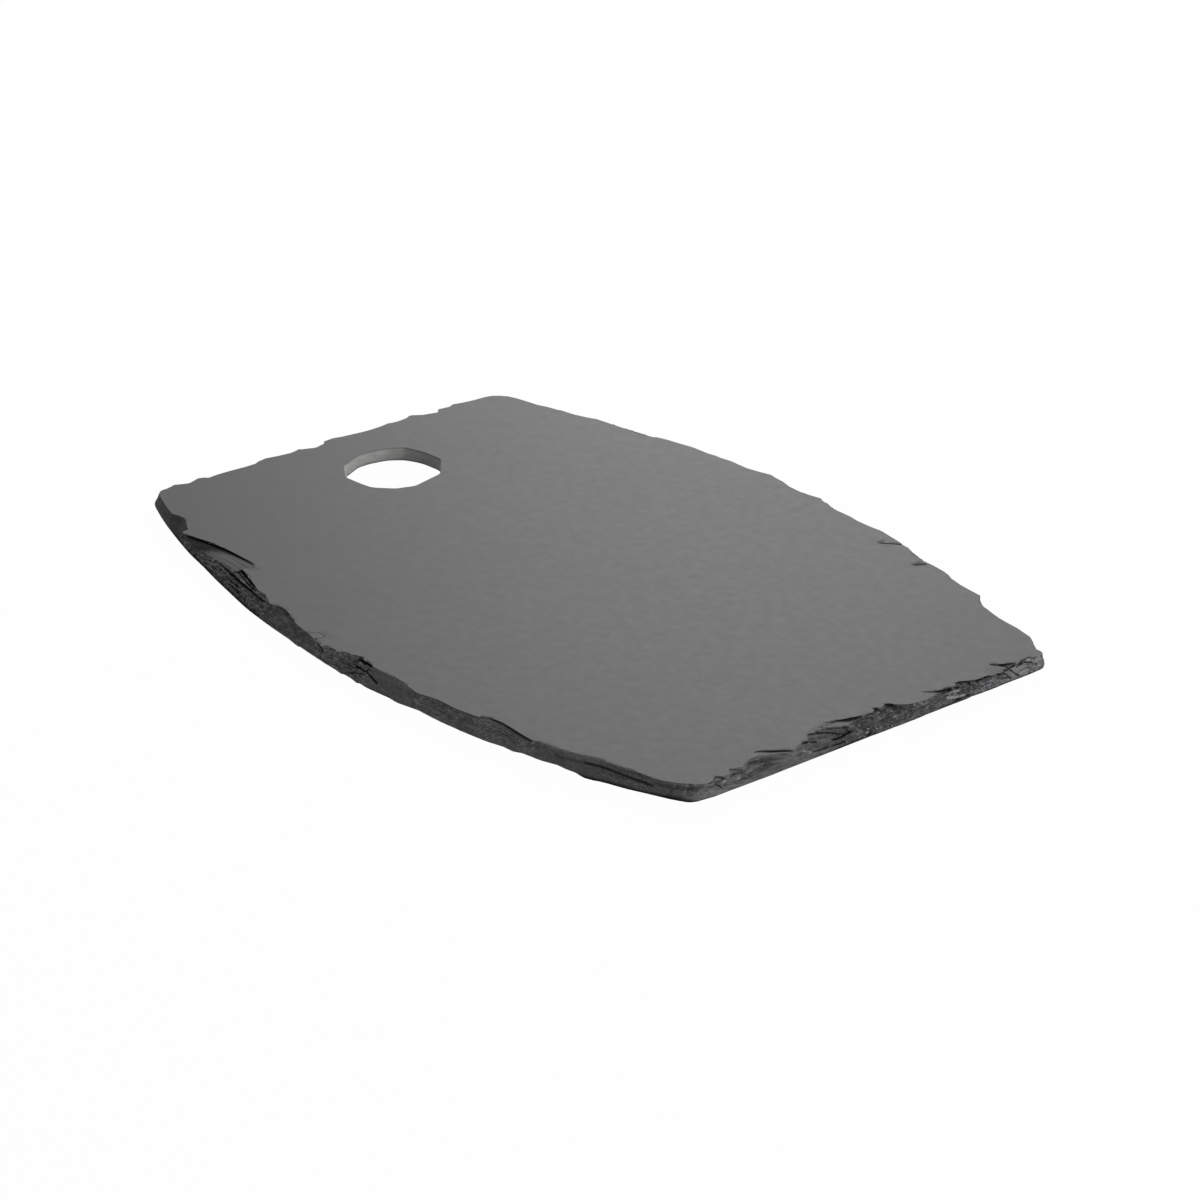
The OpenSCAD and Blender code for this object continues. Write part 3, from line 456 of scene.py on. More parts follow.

# Finger hole: angle, step of its rim out from the bore, how far the rim is worn round, how pale its wall is,
# painted paler where light falls on it
HOLE_RIM = [
    (-170, -0.8, 0.2, 1.15), (-136, -0.9, 0.5, 1.25), (-100, 0, 0.4, 1.12), (-69, 0.2, 0, 1),
    (-58, 1.1, 0, 1), (-32, 1.2, 0, 1), (-24, 0.6, 0, 1), (-11, 0.9, 0, 1), (33, 0.1, 0, 1),
    (76, 0.8, 0, 1.03), (106, -0.1, 0, 1.02), (131, 1.1, 0, 1.02), (150, 0.2, 0, 1.06),
    (172, -0.7, 0.1, 1.1),
]
# Shadow down the wall of the finger hole: share of the way up and how dark
HOLE_SHADOW = [(0, 0.5), (0.16, 0), (0.84, 0), (0.92, 0.3), (1, 0)]

# Feet and adhesive films, both turned: radius and height of each point as shares of the piece
FOOT_TURNING = [
    (0, 0.08), (0.25, 0.08), (0.30, 0.05), (0.36, 0.05), (0.41, 0), (0.80, 0),
    *((0.91 + 0.09 * math.sin(a), 0.28 - 0.28 * math.cos(a)) for a in np.radians(range(0, 91, 15))),
    (1, 0.80), (0.988, 0.93), (0.955, 0.99), (0.93, 1), (0.4, 1), (0, 1),
]
FILM_TURNING = [
    (0, 0), (0.9, 0), (0.975, 0), (0.992, 0.2), (1, 0.5), (0.992, 0.8), (0.975, 1), (0.9, 1), (0, 1),
]
TURNING_STEPS = 96

# Colours of the stone where it is broken, with crushed stone and painted glints, and the near black of
# painted shade
PALE_GRAIN = (0.26, 0.26, 0.255, 1)
CRUSHED_STONE_AND_GLINT = (0.34, 0.34, 0.33, 1)
PAINTED_SHADE_COLOUR = (0.007, 0.007, 0.008, 1)
WORN_TREAD = (0.8, 0.8, 0.81, 1)


def outline(way):
    """Points of the outline at ways from the middle of the near side, and their outward directions."""
    lap = np.floor(way / QUARTER_WAY).astype(int) % 4
    along = way - np.floor(way / QUARTER_WAY) * QUARTER_WAY
    folded = np.where(lap % 2 == 0, along, QUARTER_WAY - along)
    on_side = folded < SIDE_WAY
    corner_turn = SIDE_TURN - math.pi / 2 + (folded - SIDE_WAY) / CORNER_RADIUS
    turn = np.where(on_side, folded / SIDE_RADIUS - math.pi / 2, np.minimum(corner_turn, 0))
    out = np.stack([np.cos(turn), np.sin(turn)], -1)
    side = np.array([0, SIDE_CENTRE]) + SIDE_RADIUS * out
    corner = np.array([CORNER_X, -CORNER_Y]) + CORNER_RADIUS * out
    corner[:, 1] += np.maximum(folded - SIDE_WAY - CORNER_WAY, 0)
    spot = np.where(on_side[:, None], side, corner)
    mirror = np.stack([np.where(lap < 2, 1, -1), np.where(lap % 3 == 0, 1, -1)], -1)
    return spot * mirror, out * mirror


def side_way(side, share):
    """Way of a place on a side, as a share of half the side from its middle."""
    return (side * QUARTER_WAY + SENSE[side] * share * HALF_WAY[side]) % WHOLE_WAY


def side_share(side, ways):
    """Place of each way on a side, as a share of half the side from its middle; past its ends beyond 1."""
    off = (ways - side * QUARTER_WAY + WHOLE_WAY / 2) % WHOLE_WAY - WHOLE_WAY / 2
    return SENSE[side] * off / HALF_WAY[side]


def by_side(table):
    """Rows of a table in one list, each with its side in front."""
    return [(side, *row) for side, rows in table.items() for row in rows]


def cross(a, b):
    return a[:, 0] * b[:, 1] - a[:, 1] * b[:, 0]


def square_to(line):
    """Level directions square to a line of points."""
    aim = np.gradient(line, axis=0)
    return np.stack([aim[:, 1], -aim[:, 0]], -1) / np.linalg.norm(aim, axis=1)[:, None]


def line_run(side, shares, insets):
    """How far along a line each of its points is."""
    return np.r_[0, np.cumsum(np.hypot(np.diff(shares) * HALF_WAY[side], np.diff(insets) * MM))]


def widest(rim):
    """Greatest inset of the rim among each column and the three on either side of it."""
    return np.max([np.roll(rim, step) for step in range(-3, 4)], axis=0)


def column_ways():
    """Ways of the columns of points, round from the grip end of the near side."""
    ways = []
    for side, (pitch, half) in enumerate(zip(PITCH, HALF_WAY)):
        middle = side * QUARTER_WAY
        corner = middle + half
        ways.append(np.linspace(middle - half, corner, round(2 * half / pitch), endpoint=False))
        turns = round(CORNER_WAY / CORNER_PITCH)
        ways.append(np.linspace(corner, corner + CORNER_WAY, turns, endpoint=False))
    return np.concatenate(ways) % WHOLE_WAY


def table_line(ways, tables, column, rest=None, unit=1.0):
    """Line round the edge through a column of the tables, in place of the rest where they have one."""
    line = np.zeros(len(ways)) if rest is None else np.array(rest, float)
    for side, table in tables.items():
        shares, values = np.array(table).T[[0, column]]
        share = side_share(side, ways)
        on = (share >= shares[0]) & (share <= shares[-1])
        line[on] = np.interp(share[on], shares, values) * unit
    return line


def cad_insets(ways, levels):
    """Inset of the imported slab's edge from the outline, a row for each level and a column for each way."""
    mesh = frame["nodes"]["slate_slab"].data
    mesh.calc_loop_triangles()
    corners = [v.co for v in mesh.vertices]
    tree = BVHTree.FromPolygons(corners, [t.vertices for t in mesh.loop_triangles])
    spots, outs = outline(ways)
    clear = 5 * MM
    insets = np.zeros((len(levels), len(ways)))
    for column, (spot, out) in enumerate(zip(spots, outs)):
        start = spot + clear * out
        aim = Vector((-out[0], -out[1], 0))
        for row, level in enumerate(levels):
            distance = tree.ray_cast(Vector((start[0], start[1], level)), aim)[3]
            insets[row, column] = distance - clear
    return insets


def ragged_line(ways, pitch, rng):
    """Angular random line round the edge, from -1 to 1, with its knots about a pitch apart."""
    stray = 0.4
    knots = round(WHOLE_WAY / pitch)
    places = (np.arange(knots) + rng.uniform(-stray, stray, knots)) * WHOLE_WAY / knots
    return np.interp(ways, places, rng.uniform(-1, 1, knots), period=WHOLE_WAY)


def break_kind(ways):
    """How layered, how rough, how pale and how sheeted the break is at each way."""
    rows = [(side_way(side, share), *kind) for side, share, *kind in by_side(BREAK)]
    places, *kinds = zip(*sorted(rows))
    return [np.interp(ways, places, kind, period=WHOLE_WAY) for kind in kinds]


def edge_profile(ways):
    """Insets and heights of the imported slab's edge at even levels, rim and foot moved to their lines."""
    skin = 0.004
    belly = 0.4
    rim_curve = 1.2
    facet_curve = 1.4
    flat_drop = 0.4 * MM
    levels = np.linspace(skin, 1 - skin, PROFILE_ROWS)
    insets = cad_insets(ways, SLAB_LOW.z + THICKNESS * levels)
    shares = np.linspace(0, 1, PROFILE_ROWS)[:, None]
    rim_shift = table_line(ways, RIM, 1, insets[-1], MM) - insets[-1]
    foot_shift = table_line(ways, FOOT, 1, insets[0], MM) - insets[0]
    insets = insets + rim_shift * np.clip((shares - belly) / (1 - belly), 0, 1) ** rim_curve
    insets = insets + foot_shift * np.clip((belly - shares) / belly, 0, 1)
    drop = table_line(ways, RIM_DROP, 1, unit=MM)
    facet = insets[0] + (insets[-1] - insets[0]) * shares ** facet_curve
    flat = np.maximum(np.clip(drop / flat_drop, 0, 1), table_line(ways, FACETS, 1))
    insets = insets + flat * (facet - insets)
    heights = SLAB_LOW.z + shares * (THICKNESS - drop)
    return insets, heights


def even_rows(insets, heights, count):
    """Rows evenly spaced down an edge, as insets and heights."""
    steps = np.hypot(np.diff(insets, axis=0), np.diff(heights, axis=0))
    run = np.concatenate([np.zeros((1, insets.shape[1])), np.cumsum(steps, axis=0)])
    shares = np.linspace(0, 1, count)
    even = np.zeros((2, count, insets.shape[1]))
    for column in range(insets.shape[1]):
        wanted = shares * run[-1, column]
        even[0, :, column] = np.interp(wanted, run[:, column], insets[:, column])
        even[1, :, column] = np.interp(wanted, run[:, column], heights[:, column])
    return even


def layered_rows(ways, insets, heights):
    """Rows of the same edge broken in laminae, each with a ragged end and a tread on the one below."""
    rim_wander = 0.3
    shade_pitch = 5 * MM
    tread_shares = (0.35, 0.7)
    rng = np.random.default_rng(SEED)
    levels = np.linspace(0, 1, len(insets))
    reach, shade = [], []
    for layer in range(LAMINAE):
        inside = (levels >= LAMINA_SHARES[layer]) & (levels <= LAMINA_SHARES[layer + 1])
        wander = sum(size * ragged_line(ways, pitch, rng) for pitch, size in RAGGED)
        if layer == LAMINAE - 1:
            reach.append(insets[-1] + rim_wander * wander)
        else:
            reach.append(insets[inside].mean(0) + wander)
        shade.append(ragged_line(ways, shade_pitch, rng))
    rows = []
    for layer in range(LAMINAE):
        if layer:
            rows += [(share, layer, LAMINA_SHARES[layer]) for share in tread_shares]
        rows += [(1.0, layer, LAMINA_SHARES[layer]), (1.0, layer, LAMINA_SHARES[layer + 1])]
    made = np.zeros((2, len(rows), len(ways)))
    tone = np.zeros((len(rows), len(ways)))
    for row, (share, layer, level) in enumerate(rows):
        below = max(layer - 1, 0)
        made[0, row] = reach[below] + share * (reach[layer] - reach[below])
        made[1, row] = heights[0] + level * (heights[-1] - heights[0])
        tone[row] = shade[below] + share * (shade[layer] - shade[below])
    return made, tone


def own_walls(ways, even):
    """Puts the stretches with a wall of their own in place of the part of the edge that they take up."""
    share = side_share(NEAR, ways)
    for sections in WALLS:
        places = [place for place, _ in sections]
        on = np.flatnonzero((share >= places[0]) & (share <= places[-1]))
        points = np.array([wall for _, wall in sections]) * MM
        insets, heights = (
            np.array([np.interp(share[on], places, line) for line in points[:, :, axis].T])
            for axis in range(2))
        even[:, :, on] = even_rows(insets, heights, even.shape[1])


def slab_edge(ways):
    """Insets, heights and tone of the broken edge, a row for each line of points from the underside up."""
    insets, heights = edge_profile(ways)
    steps, tone = layered_rows(ways, insets, heights)
    even = even_rows(insets, heights, len(tone))
    own_walls(ways, even)
    layered = break_kind(ways)[0]
    edge = even + layered * (steps - even)
    return edge[0], edge[1], tone


def edge_place(points, ways):
    """Column nearest to each point and the inset of the point there."""
    spots, outs = outline(ways)
    nearest = np.linalg.norm(points[:, None] - spots[None], axis=2).argmin(1)
    return nearest, ((spots[nearest] - points) * outs[nearest]).sum(1)


def face_drop(points, ways, rim):
    """How far points of the serving face lie below it on the flakes, how torn they are there, and their
    reach from the crest to the rim."""
    least_tread = 0.3 * MM
    nearest, inset = edge_place(points, ways)
    drop, torn, reached = np.zeros((3, len(points)))
    for side, table in FLAKES:
        shares, crests, falls, rims, tears = np.array(table).T
        share = side_share(side, ways)[nearest]
        crest = np.interp(share, shares, crests) * MM
        inside = (share >= shares[0]) & (share <= shares[-1]) & (inset < crest)
        reach = np.clip((crest - inset) / np.maximum(crest - rim[nearest], least_tread), 0, 1)
        fall = np.interp(share, shares, falls) * (1 - reach) + np.interp(share, shares, rims) * reach
        drop = np.where(inside, fall * MM, drop)
        torn = np.where(inside, np.interp(share, shares, tears), torn)
        reached = np.where(inside, reach, reached)
    return drop, torn, reached


def flake_points(ways, rim):
    """Points of the serving face along the crests of the flakes and on their treads: place, drop, how dark
    the shade painted on the riser is there, and the pairs of points that the crests run through."""
    rim_clear = 0.25 * MM
    dark_fall = 0.5 * MM
    crest_reach = 0.1
    tread_from = 0.5
    tread_wander = 0.15
    rng = np.random.default_rng(SEED)
    clear = widest(rim) + rim_clear
    places, drops, darks, pairs = [], [], [], []
    count = 0
    for side, table in FLAKES:
        shares, crests, falls, *_ = np.array(table).T
        run = line_run(side, shares, crests)
        along = np.linspace(0, run[-1], round(run[-1] / CREST_PITCH))
        fall = np.interp(along, run, falls) * MM
        spots, outs = outline(side_way(side, np.interp(along, run, shares)))
        crest = spots - np.interp(along, run, crests)[:, None] * MM * outs
        across = square_to(crest)
        across *= np.sign((across * outs).sum(1))[:, None]
        painted_dark = np.clip(fall / dark_fall, 0, 1)
        for step, share_down, shade, skip in CREST_ROWS:
            on_tread = step > tread_from
            wander = tread_wander * rng.uniform(-1, 1, len(crest)) * on_tread
            row = crest + (step + wander)[:, None] * MM * across
            nearest, inset = edge_place(row, ways)
            keep = (inset > clear[nearest]) & (np.arange(len(row)) % skip == 0)
            if share_down is None:
                down, *_ = face_drop(row, ways, rim)
                if on_tread:
                    keep &= down > 0
            else:
                down = fall * share_down
            index = np.cumsum(keep) - 1 + count
            if abs(step) < crest_reach:
                joined = keep[:-1] & keep[1:]
                pairs += list(zip(index[:-1][joined], index[1:][joined]))
            places.append(row[keep])
            drops.append(down[keep])
            darks.append((shade * painted_dark)[keep])
            count += keep.sum()
    return np.concatenate(places), np.concatenate(drops), np.concatenate(darks), pairs


def level_line(side, line, pitch):
    """Points a pitch apart along a line on the level of the serving face, and how far along it each is."""
    fewest = 4
    shares, insets = np.array(line).T
    run = line_run(side, shares, insets)
    along = np.linspace(0, run[-1], max(fewest, round(run[-1] / pitch)))
    spots, outs = outline(side_way(side, np.interp(along, run, shares)))
    return spots - np.interp(along, run, insets)[:, None] * MM * outs, along / run[-1]


def scored_points(ways, rim):
    """Points of the serving face along the slits that run over it."""
    rim_clear = 0.3 * MM
    found = []
    for side, *_, line in by_side(SLITS):
        level, _ = level_line(side, line, SCORE_PITCH)
        across = square_to(level)
        found += [level + step * MM * across for step in SCORE_ROWS]
    points = np.concatenate(found)
    nearest, inset = edge_place(points, ways)
    return points[inset > (widest(rim) + rim_clear)[nearest]]


def seen_lines(mesh, rows):
    """Points close together on the surface along lines seen from the front corner, with which row each is
    of and a strength that dies away at both ends."""
    outside = 0.1
    end_strength, end_gain = 0.8, 2
    surface = BVHTree.FromPolygons([v.co for v in mesh.vertices], [p.vertices for p in mesh.polygons])
    spots, which, strengths = [], [], []
    for i, (side, *_, line) in enumerate(rows):
        for place, part in zip(*level_line(side, line, SEEN_PITCH)):
            start = Vector((place[0], place[1], SLAB_HIGH.z)) + VIEW_BACK * outside
            found = surface.ray_cast(start, -VIEW_BACK)[0]
            if found:
                spots.append(found)
                which.append(i)
                strengths.append(min(1, end_strength + end_gain * min(part, 1 - part)))
    tree = KDTree(len(spots))
    for i, spot in enumerate(spots):
        tree.insert(spot, i)
    tree.balance()
    return tree, which, strengths


def nearness(apart, width):
    """Full in the middle of a line and nothing at its half width."""
    steepness = 1.6
    return min(1, max(0, steepness * (1 - apart / (width * MM))))


def hole_line(column):
    """Line round the finger hole through a column of its table."""
    places, *values = zip(*HOLE_RIM)
    return np.interp(np.degrees(HOLE_ANGLES), places, values[column - 1], period=360)


def hole_ring(share):
    """Points of the finger hole at a share of the way up: rounder below, nicked and worn at the top."""
    low_nick, nick_curve = 0.4, 1.5
    worn_from, worn_curve = 0.5, 2
    first = HOLE_RIM[0]
    places, steps = np.array(HOLE_RIM + [(first[0] + 360, *first[1:])], float).T[:2]
    places = np.radians(places)
    corners = (HOLE_RADIUS + steps * MM)[:, None] * np.stack([np.cos(places), np.sin(places)], -1)
    aims = np.stack([np.cos(HOLE_ANGLES), np.sin(HOLE_ANGLES)], -1)
    nick = np.searchsorted(places, HOLE_ANGLES, side="right") - 1
    nick = np.where(nick < 0, len(HOLE_RIM) - 1, nick)
    start, run = corners[nick], (corners[1:] - corners[:-1])[nick]
    straight = cross(start, run) / cross(aims, run)
    step = np.mean([np.roll(straight, turn) for turn in range(-2, 3)], axis=0) - HOLE_RADIUS
    radius = HOLE_RADIUS + step * np.where(step < 0, 1, low_nick + (1 - low_nick) * share ** nick_curve)
    radius += hole_line(2) * MM * max(0, (share - worn_from) / (1 - worn_from)) ** worn_curve
    return np.array([HOLE_X, HOLE_Y]) + radius[:, None] * aims


def inner_points(ways, rim):
    """Loose points of a face inside its rim and clear of the hole, closer together near both."""
    tight_corner = 0.8 * CORNER_RADIUS
    corner_clear, rim_clear = 12 * MM, 0.2 * MM
    nick_depth = 1.3 * MM
    grid_wander, grid_rim_clear, grid_hole_clear = 0.3, 4 * MM, 6 * MM
    rng = np.random.default_rng(SEED)
    spots, outs = outline(ways)
    clear = widest(rim)
    found = []
    for step, skip in RIM_ROWS:
        inset = (rim + step)[::skip]
        keep = inset < tight_corner
        keep |= np.abs(ways[::skip] % QUARTER_WAY - SIDE_WAY) > corner_clear
        keep &= inset > clear[::skip] + rim_clear
        found.append((spots[::skip] - inset[:, None] * outs[::skip])[keep])
    for step, count in HOLE_RINGS:
        angle = np.arange(count) * 2 * math.pi / count
        radius = HOLE_RADIUS + nick_depth + step
        found.append(np.stack([HOLE_X + radius * np.cos(angle), HOLE_Y + radius * np.sin(angle)], -1))
    across = np.arange(-HALF_LENGTH, HALF_LENGTH, FACE_PITCH)
    along = np.arange(-HALF_WIDTH, HALF_WIDTH, FACE_PITCH)
    grid = np.stack(np.meshgrid(across, along), -1).reshape(-1, 2)
    grid = grid + rng.uniform(-grid_wander, grid_wander, grid.shape) * FACE_PITCH
    nearest, inset = edge_place(grid, ways[::4])
    keep = inset > rim[::4][nearest] + grid_rim_clear
    keep &= np.hypot(grid[:, 0] - HOLE_X, grid[:, 1] - HOLE_Y) > HOLE_RADIUS + grid_hole_clear
    found.append(grid[keep])
    return np.concatenate(found)


def face_triangles(rim, hole, loose, pairs):
    """Triangles between the rim of a face and the hole in it, over points in that order, with pairs of
    loose points joined."""
    points = np.concatenate([rim, hole, loose]) / MM
    first = len(rim) + len(hole)
    loops = [(int(first + a), int(first + b)) for a, b in pairs]
    first = 0
    for count in (len(rim), len(hole)):
        loops += [(first + i, first + (i + 1) % count) for i in range(count)]
        first += count
    made = delaunay_2d_cdt([Vector(p) for p in points], loops, [], 0, 1e-6, True)
    source = [origin[0] if origin else -1 for origin in made[3]]
    triangles = np.sort([[source[i] for i in face] for face in made[2]], axis=1)
    a, b, c = (points[triangles[:, i]] for i in range(3))
    flipped = cross(b - a, c - a) < 0
    outside = (triangles[:, 2] < len(rim)) & flipped
    in_hole = (triangles[:, 0] >= len(rim)) & (triangles[:, 2] < len(rim) + len(hole)) & ~flipped
    triangles[flipped] = triangles[flipped][:, ::-1]
    return triangles[~(outside | in_hole)]


def ring_faces(first, rows, columns, inward):
    """Quads between rings of points, facing out or, on the hole, in."""
    faces = []
    for row in range(rows - 1):
        for i in range(columns):
            a = first + row * columns + i
            b = first + row * columns + (i + 1) % columns
            quad = (a, b, b + columns, a + columns)
            faces.append(quad[::-1] if inward else quad)
    return faces


def put_attribute(mesh, name, values):
    mesh.attributes.new(name, "FLOAT", "POINT").data.foreach_set("value", np.asarray(values, np.float32))


def slab_mesh():
    """Slab before its fine relief: broken edge, drilled hole and two faces, with marks on each point."""
    crest_clear = 0.5 * MM
    ways = column_ways()
    insets, heights, tone = slab_edge(ways)
    spots, outs = outline(ways)
    rows, columns = insets.shape
    edge = np.concatenate([spots - insets[:, :, None] * outs, heights[:, :, None]], axis=2)
    hole = np.zeros((HOLE_ROWS, HOLE_COLUMNS, 3))
    for row, share in enumerate(np.linspace(0, 1, HOLE_ROWS)):
        hole[row, :, :2] = hole_ring(share)
        hole[row, :, 2] = SLAB_LOW.z + share * THICKNESS
    points = [edge.reshape(-1, 3), hole.reshape(-1, 3)]
    hole_first = rows * columns
    faces = ring_faces(0, rows, columns, False) + ring_faces(hole_first, HOLE_ROWS, HOLE_COLUMNS, True)
    count = hole_first + HOLE_ROWS * HOLE_COLUMNS
    broken = np.ones((rows, columns))
    broken[0] = broken[-1] = 0
    marks = [broken.ravel(), np.zeros(HOLE_ROWS * HOLE_COLUMNS)]
    risers, reaches = [np.zeros(count)], [np.zeros(count)]
    for row, hole_row, down in ((0, 0, True), (rows - 1, HOLE_ROWS - 1, False)):
        loose = inner_points(ways, insets[row])
        lie = np.full(len(loose), SLAB_LOW.z)
        torn, painted_dark, reach = np.zeros((3, len(loose)))
        pairs = []
        if not down:
            crest, fall, painted_dark, pairs = flake_points(ways, insets[row])
            loose = np.concatenate([scored_points(ways, insets[row]), loose])
            apart = np.linalg.norm(loose[:, None] - crest[None], axis=2).min(1)
            loose = np.concatenate([crest, loose[apart > crest_clear]])
            drop, torn, reach = face_drop(loose, ways, insets[row])
            drop[:len(crest)] = fall
            # Shade painted on the risers under the crests, none on the other points
            painted_dark = np.r_[painted_dark, np.zeros(len(loose) - len(crest))]
            lie = SLAB_HIGH.z - drop
        triangles = face_triangles(edge[row, :, :2], hole[hole_row, :, :2], loose, pairs)
        index = np.concatenate([
            row * columns + np.arange(columns),
            hole_first + hole_row * HOLE_COLUMNS + np.arange(HOLE_COLUMNS),
            count + np.arange(len(loose)),
        ])
        triangles = index[triangles]
        faces += [tuple(t[::-1] if down else t) for t in triangles.tolist()]
        points.append(np.c_[loose, lie])
        marks.append(torn)
        risers.append(painted_dark)
        reaches.append(reach)
        count += len(loose)
    mesh = bpy.data.meshes.new("slab")
    mesh.from_pydata(np.concatenate(points).tolist(), [], faces)
    put_attribute(mesh, "broken", np.concatenate(marks))
    put_attribute(mesh, "painted_riser_shade", np.concatenate(risers))
    put_attribute(mesh, "reach", np.concatenate(reaches))
    mark_walls(mesh, ways, heights, tone)
    mark_crushed_and_glints(mesh)
    cut_slits(mesh)
    return mesh


def mark_walls(mesh, ways, heights, tone):
    """Marks what the colour of the broken edge and of the hole's wall depends on, painted shade and painted
    light among it.
    """
    least_arris, arris_steepness = 0.1 * MM, 1.4
    rows, columns = heights.shape

    def put(name, edge, hole, rest):
        loose = len(mesh.vertices) - edge.size - HOLE_ROWS * HOLE_COLUMNS
        put_attribute(mesh, name, np.r_[edge.ravel(), hole.ravel(), np.full(loose, rest)])

    plain = np.ones((HOLE_ROWS, HOLE_COLUMNS))
    bored = plain.copy()
    bored[0] = bored[-1] = 0
    put("bored", np.zeros((rows, columns)), bored, 0.0)
    put("tone", tone, 0 * plain, 0.0)
    put("rise", np.repeat(np.linspace(0, 1, rows), columns), 0 * plain, 0.0)
    _, rough, pale, sheeted = break_kind(ways)
    put("rough", np.tile(rough, rows), plain, 1.0)
    # Paleness of the break, and of the hole's wall, which is painted paler where light falls on it
    put("pale", np.tile(pale, rows), plain * hole_line(3), 1.0)
    put("sheeted", np.tile(sheeted, rows), plain, 1.0)
    tall, painted_dark = table_line(ways, PAINTED_ARRIS_SHADE, 1, unit=MM), table_line(ways, PAINTED_ARRIS_SHADE, 2)
    low = 1 - (heights - SLAB_LOW.z) / np.maximum(tall, least_arris)
    shadow = np.interp(np.linspace(0, 1, HOLE_ROWS), *zip(*HOLE_SHADOW))
    # Painted shade: a dark band along the lower arris and down the hole's wall
    put("painted_arris_shade", painted_dark * np.clip(arris_steepness * low, 0, 1), shadow[:, None] * plain, 0.0)


def mark_crushed_and_glints(mesh):
    """Marks how pale each point is with crushed stone and painted glints."""
    spots = by_side(CRUSHED_AND_GLINTS)
    tree, which, strengths = seen_lines(mesh, spots)
    crushed_and_glint = np.zeros(len(mesh.vertices))
    for vertex in mesh.vertices:
        _, i, apart = tree.find(vertex.co)
        _, width, pale, _ = spots[which[i]]
        crushed_and_glint[vertex.index] = pale * strengths[i] * nearness(apart, width)
    put_attribute(mesh, "crushed_and_glint", crushed_and_glint)


def cut_slits(mesh):
    """Opens the slits in the surface and marks how dark the shade painted in them is at each point."""
    foot_clear = 0.2 * MM
    slits = by_side(SLITS)
    tree, which, strengths = seen_lines(mesh, slits)
    normals = [v.normal.copy() for v in mesh.vertices]
    shade = np.zeros(len(mesh.vertices))
    for vertex, normal in zip(mesh.vertices, normals):
        if vertex.co.z < SLAB_LOW.z + foot_clear:
            continue
        _, i, apart = tree.find(vertex.co)
        _, width, depth, painted_dark, _ = slits[which[i]]
        opened = strengths[i] * nearness(apart, width)
        vertex.co -= normal * depth * MM * opened
        shade[vertex.index] = painted_dark * opened
    put_attribute(mesh, "painted_slit_shade", shade)


def add_object(name, data):
    made = bpy.data.objects.new(name, data)
    bpy.context.scene.collection.objects.link(made)
    return made


class Nodes:
    """Node tree with short names for its usual sums. An input is a value or the output of another node."""

    def __init__(self, tree):
        self.tree = tree

    def give(self, socket, value):
        if isinstance(value, bpy.types.NodeSocket):
            self.tree.links.new(value, socket)
        else:
            socket.default_value = value

    def add(self, kind, inputs=(), **settings):
        """New node with its settings and inputs."""
        node = self.tree.nodes.new(kind)
        for name, value in settings.items():
            setattr(node, name, value)
        for name, value in dict(inputs).items():
            self.give(node.inputs[name], value)
        return node

    def get(self, kind, inputs=(), **settings):
        """First output of a new node."""
        return self.add(kind, inputs, **settings).outputs[0]

    def maths(self, operation, a, b):
        return self.get("ShaderNodeMath", {0: a, 1: b}, operation=operation)

    def times(self, a, b):
        return self.maths("MULTIPLY", a, b)

    def plus(self, a, b):
        return self.maths("ADD", a, b)

    def less(self, a, b):
        return self.maths("SUBTRACT", a, b)

    def greater(self, a, b):
        return self.maths("MAXIMUM", a, b)


class Relief(Nodes):
    """New geometry tree with named inputs, of which the last is the material."""

    def __init__(self, name, inputs):
        super().__init__(bpy.data.node_groups.new(name, "GeometryNodeTree"))
        sockets = self.tree.interface
        sockets.new_socket("Geometry", in_out="INPUT", socket_type="NodeSocketGeometry")
        self.names = {}
        for label, kind in {**inputs, "Material": "Material"}.items():
            socket = sockets.new_socket(label, in_out="INPUT", socket_type="NodeSocket" + kind)
            self.names[label] = socket.identifier
        sockets.new_socket("Geometry", in_out="OUTPUT", socket_type="NodeSocketGeometry")
        self.given = self.tree.nodes.new("NodeGroupInput").outputs

    def mark(self, name):
        return self.get("GeometryNodeInputNamedAttribute", {"Name": name}, data_type="FLOAT")

    def move(self, geometry, offset):
        return self.get("GeometryNodeSetPosition", {"Geometry": geometry, "Offset": offset})

    def close(self, geometry):
        """Ends the tree in real geometry with its material."""
        real = self.get("GeometryNodeRealizeInstances", {"Geometry": geometry})
        material = self.given["Material"]
        dressed = self.get("GeometryNodeSetMaterial", {"Geometry": real, "Material": material})
        self.add("NodeGroupOutput", {0: dressed})

    def grow(self, mesh, name, values):
        """Runs the tree on a mesh and returns the result as a plain object."""
        source = add_object(name + "_source", mesh)
        modifier = source.modifiers.new("grow", "NODES")
        modifier.node_group = self.tree
        for label, value in values.items():
            modifier[self.names[label]] = value
        graph = bpy.context.evaluated_depsgraph_get()
        result = bpy.data.meshes.new_from_object(source.evaluated_get(graph), depsgraph=graph)
        source.modifiers.clear()
        bpy.data.objects.remove(source)
        result.name = name
        return add_object(name, result)


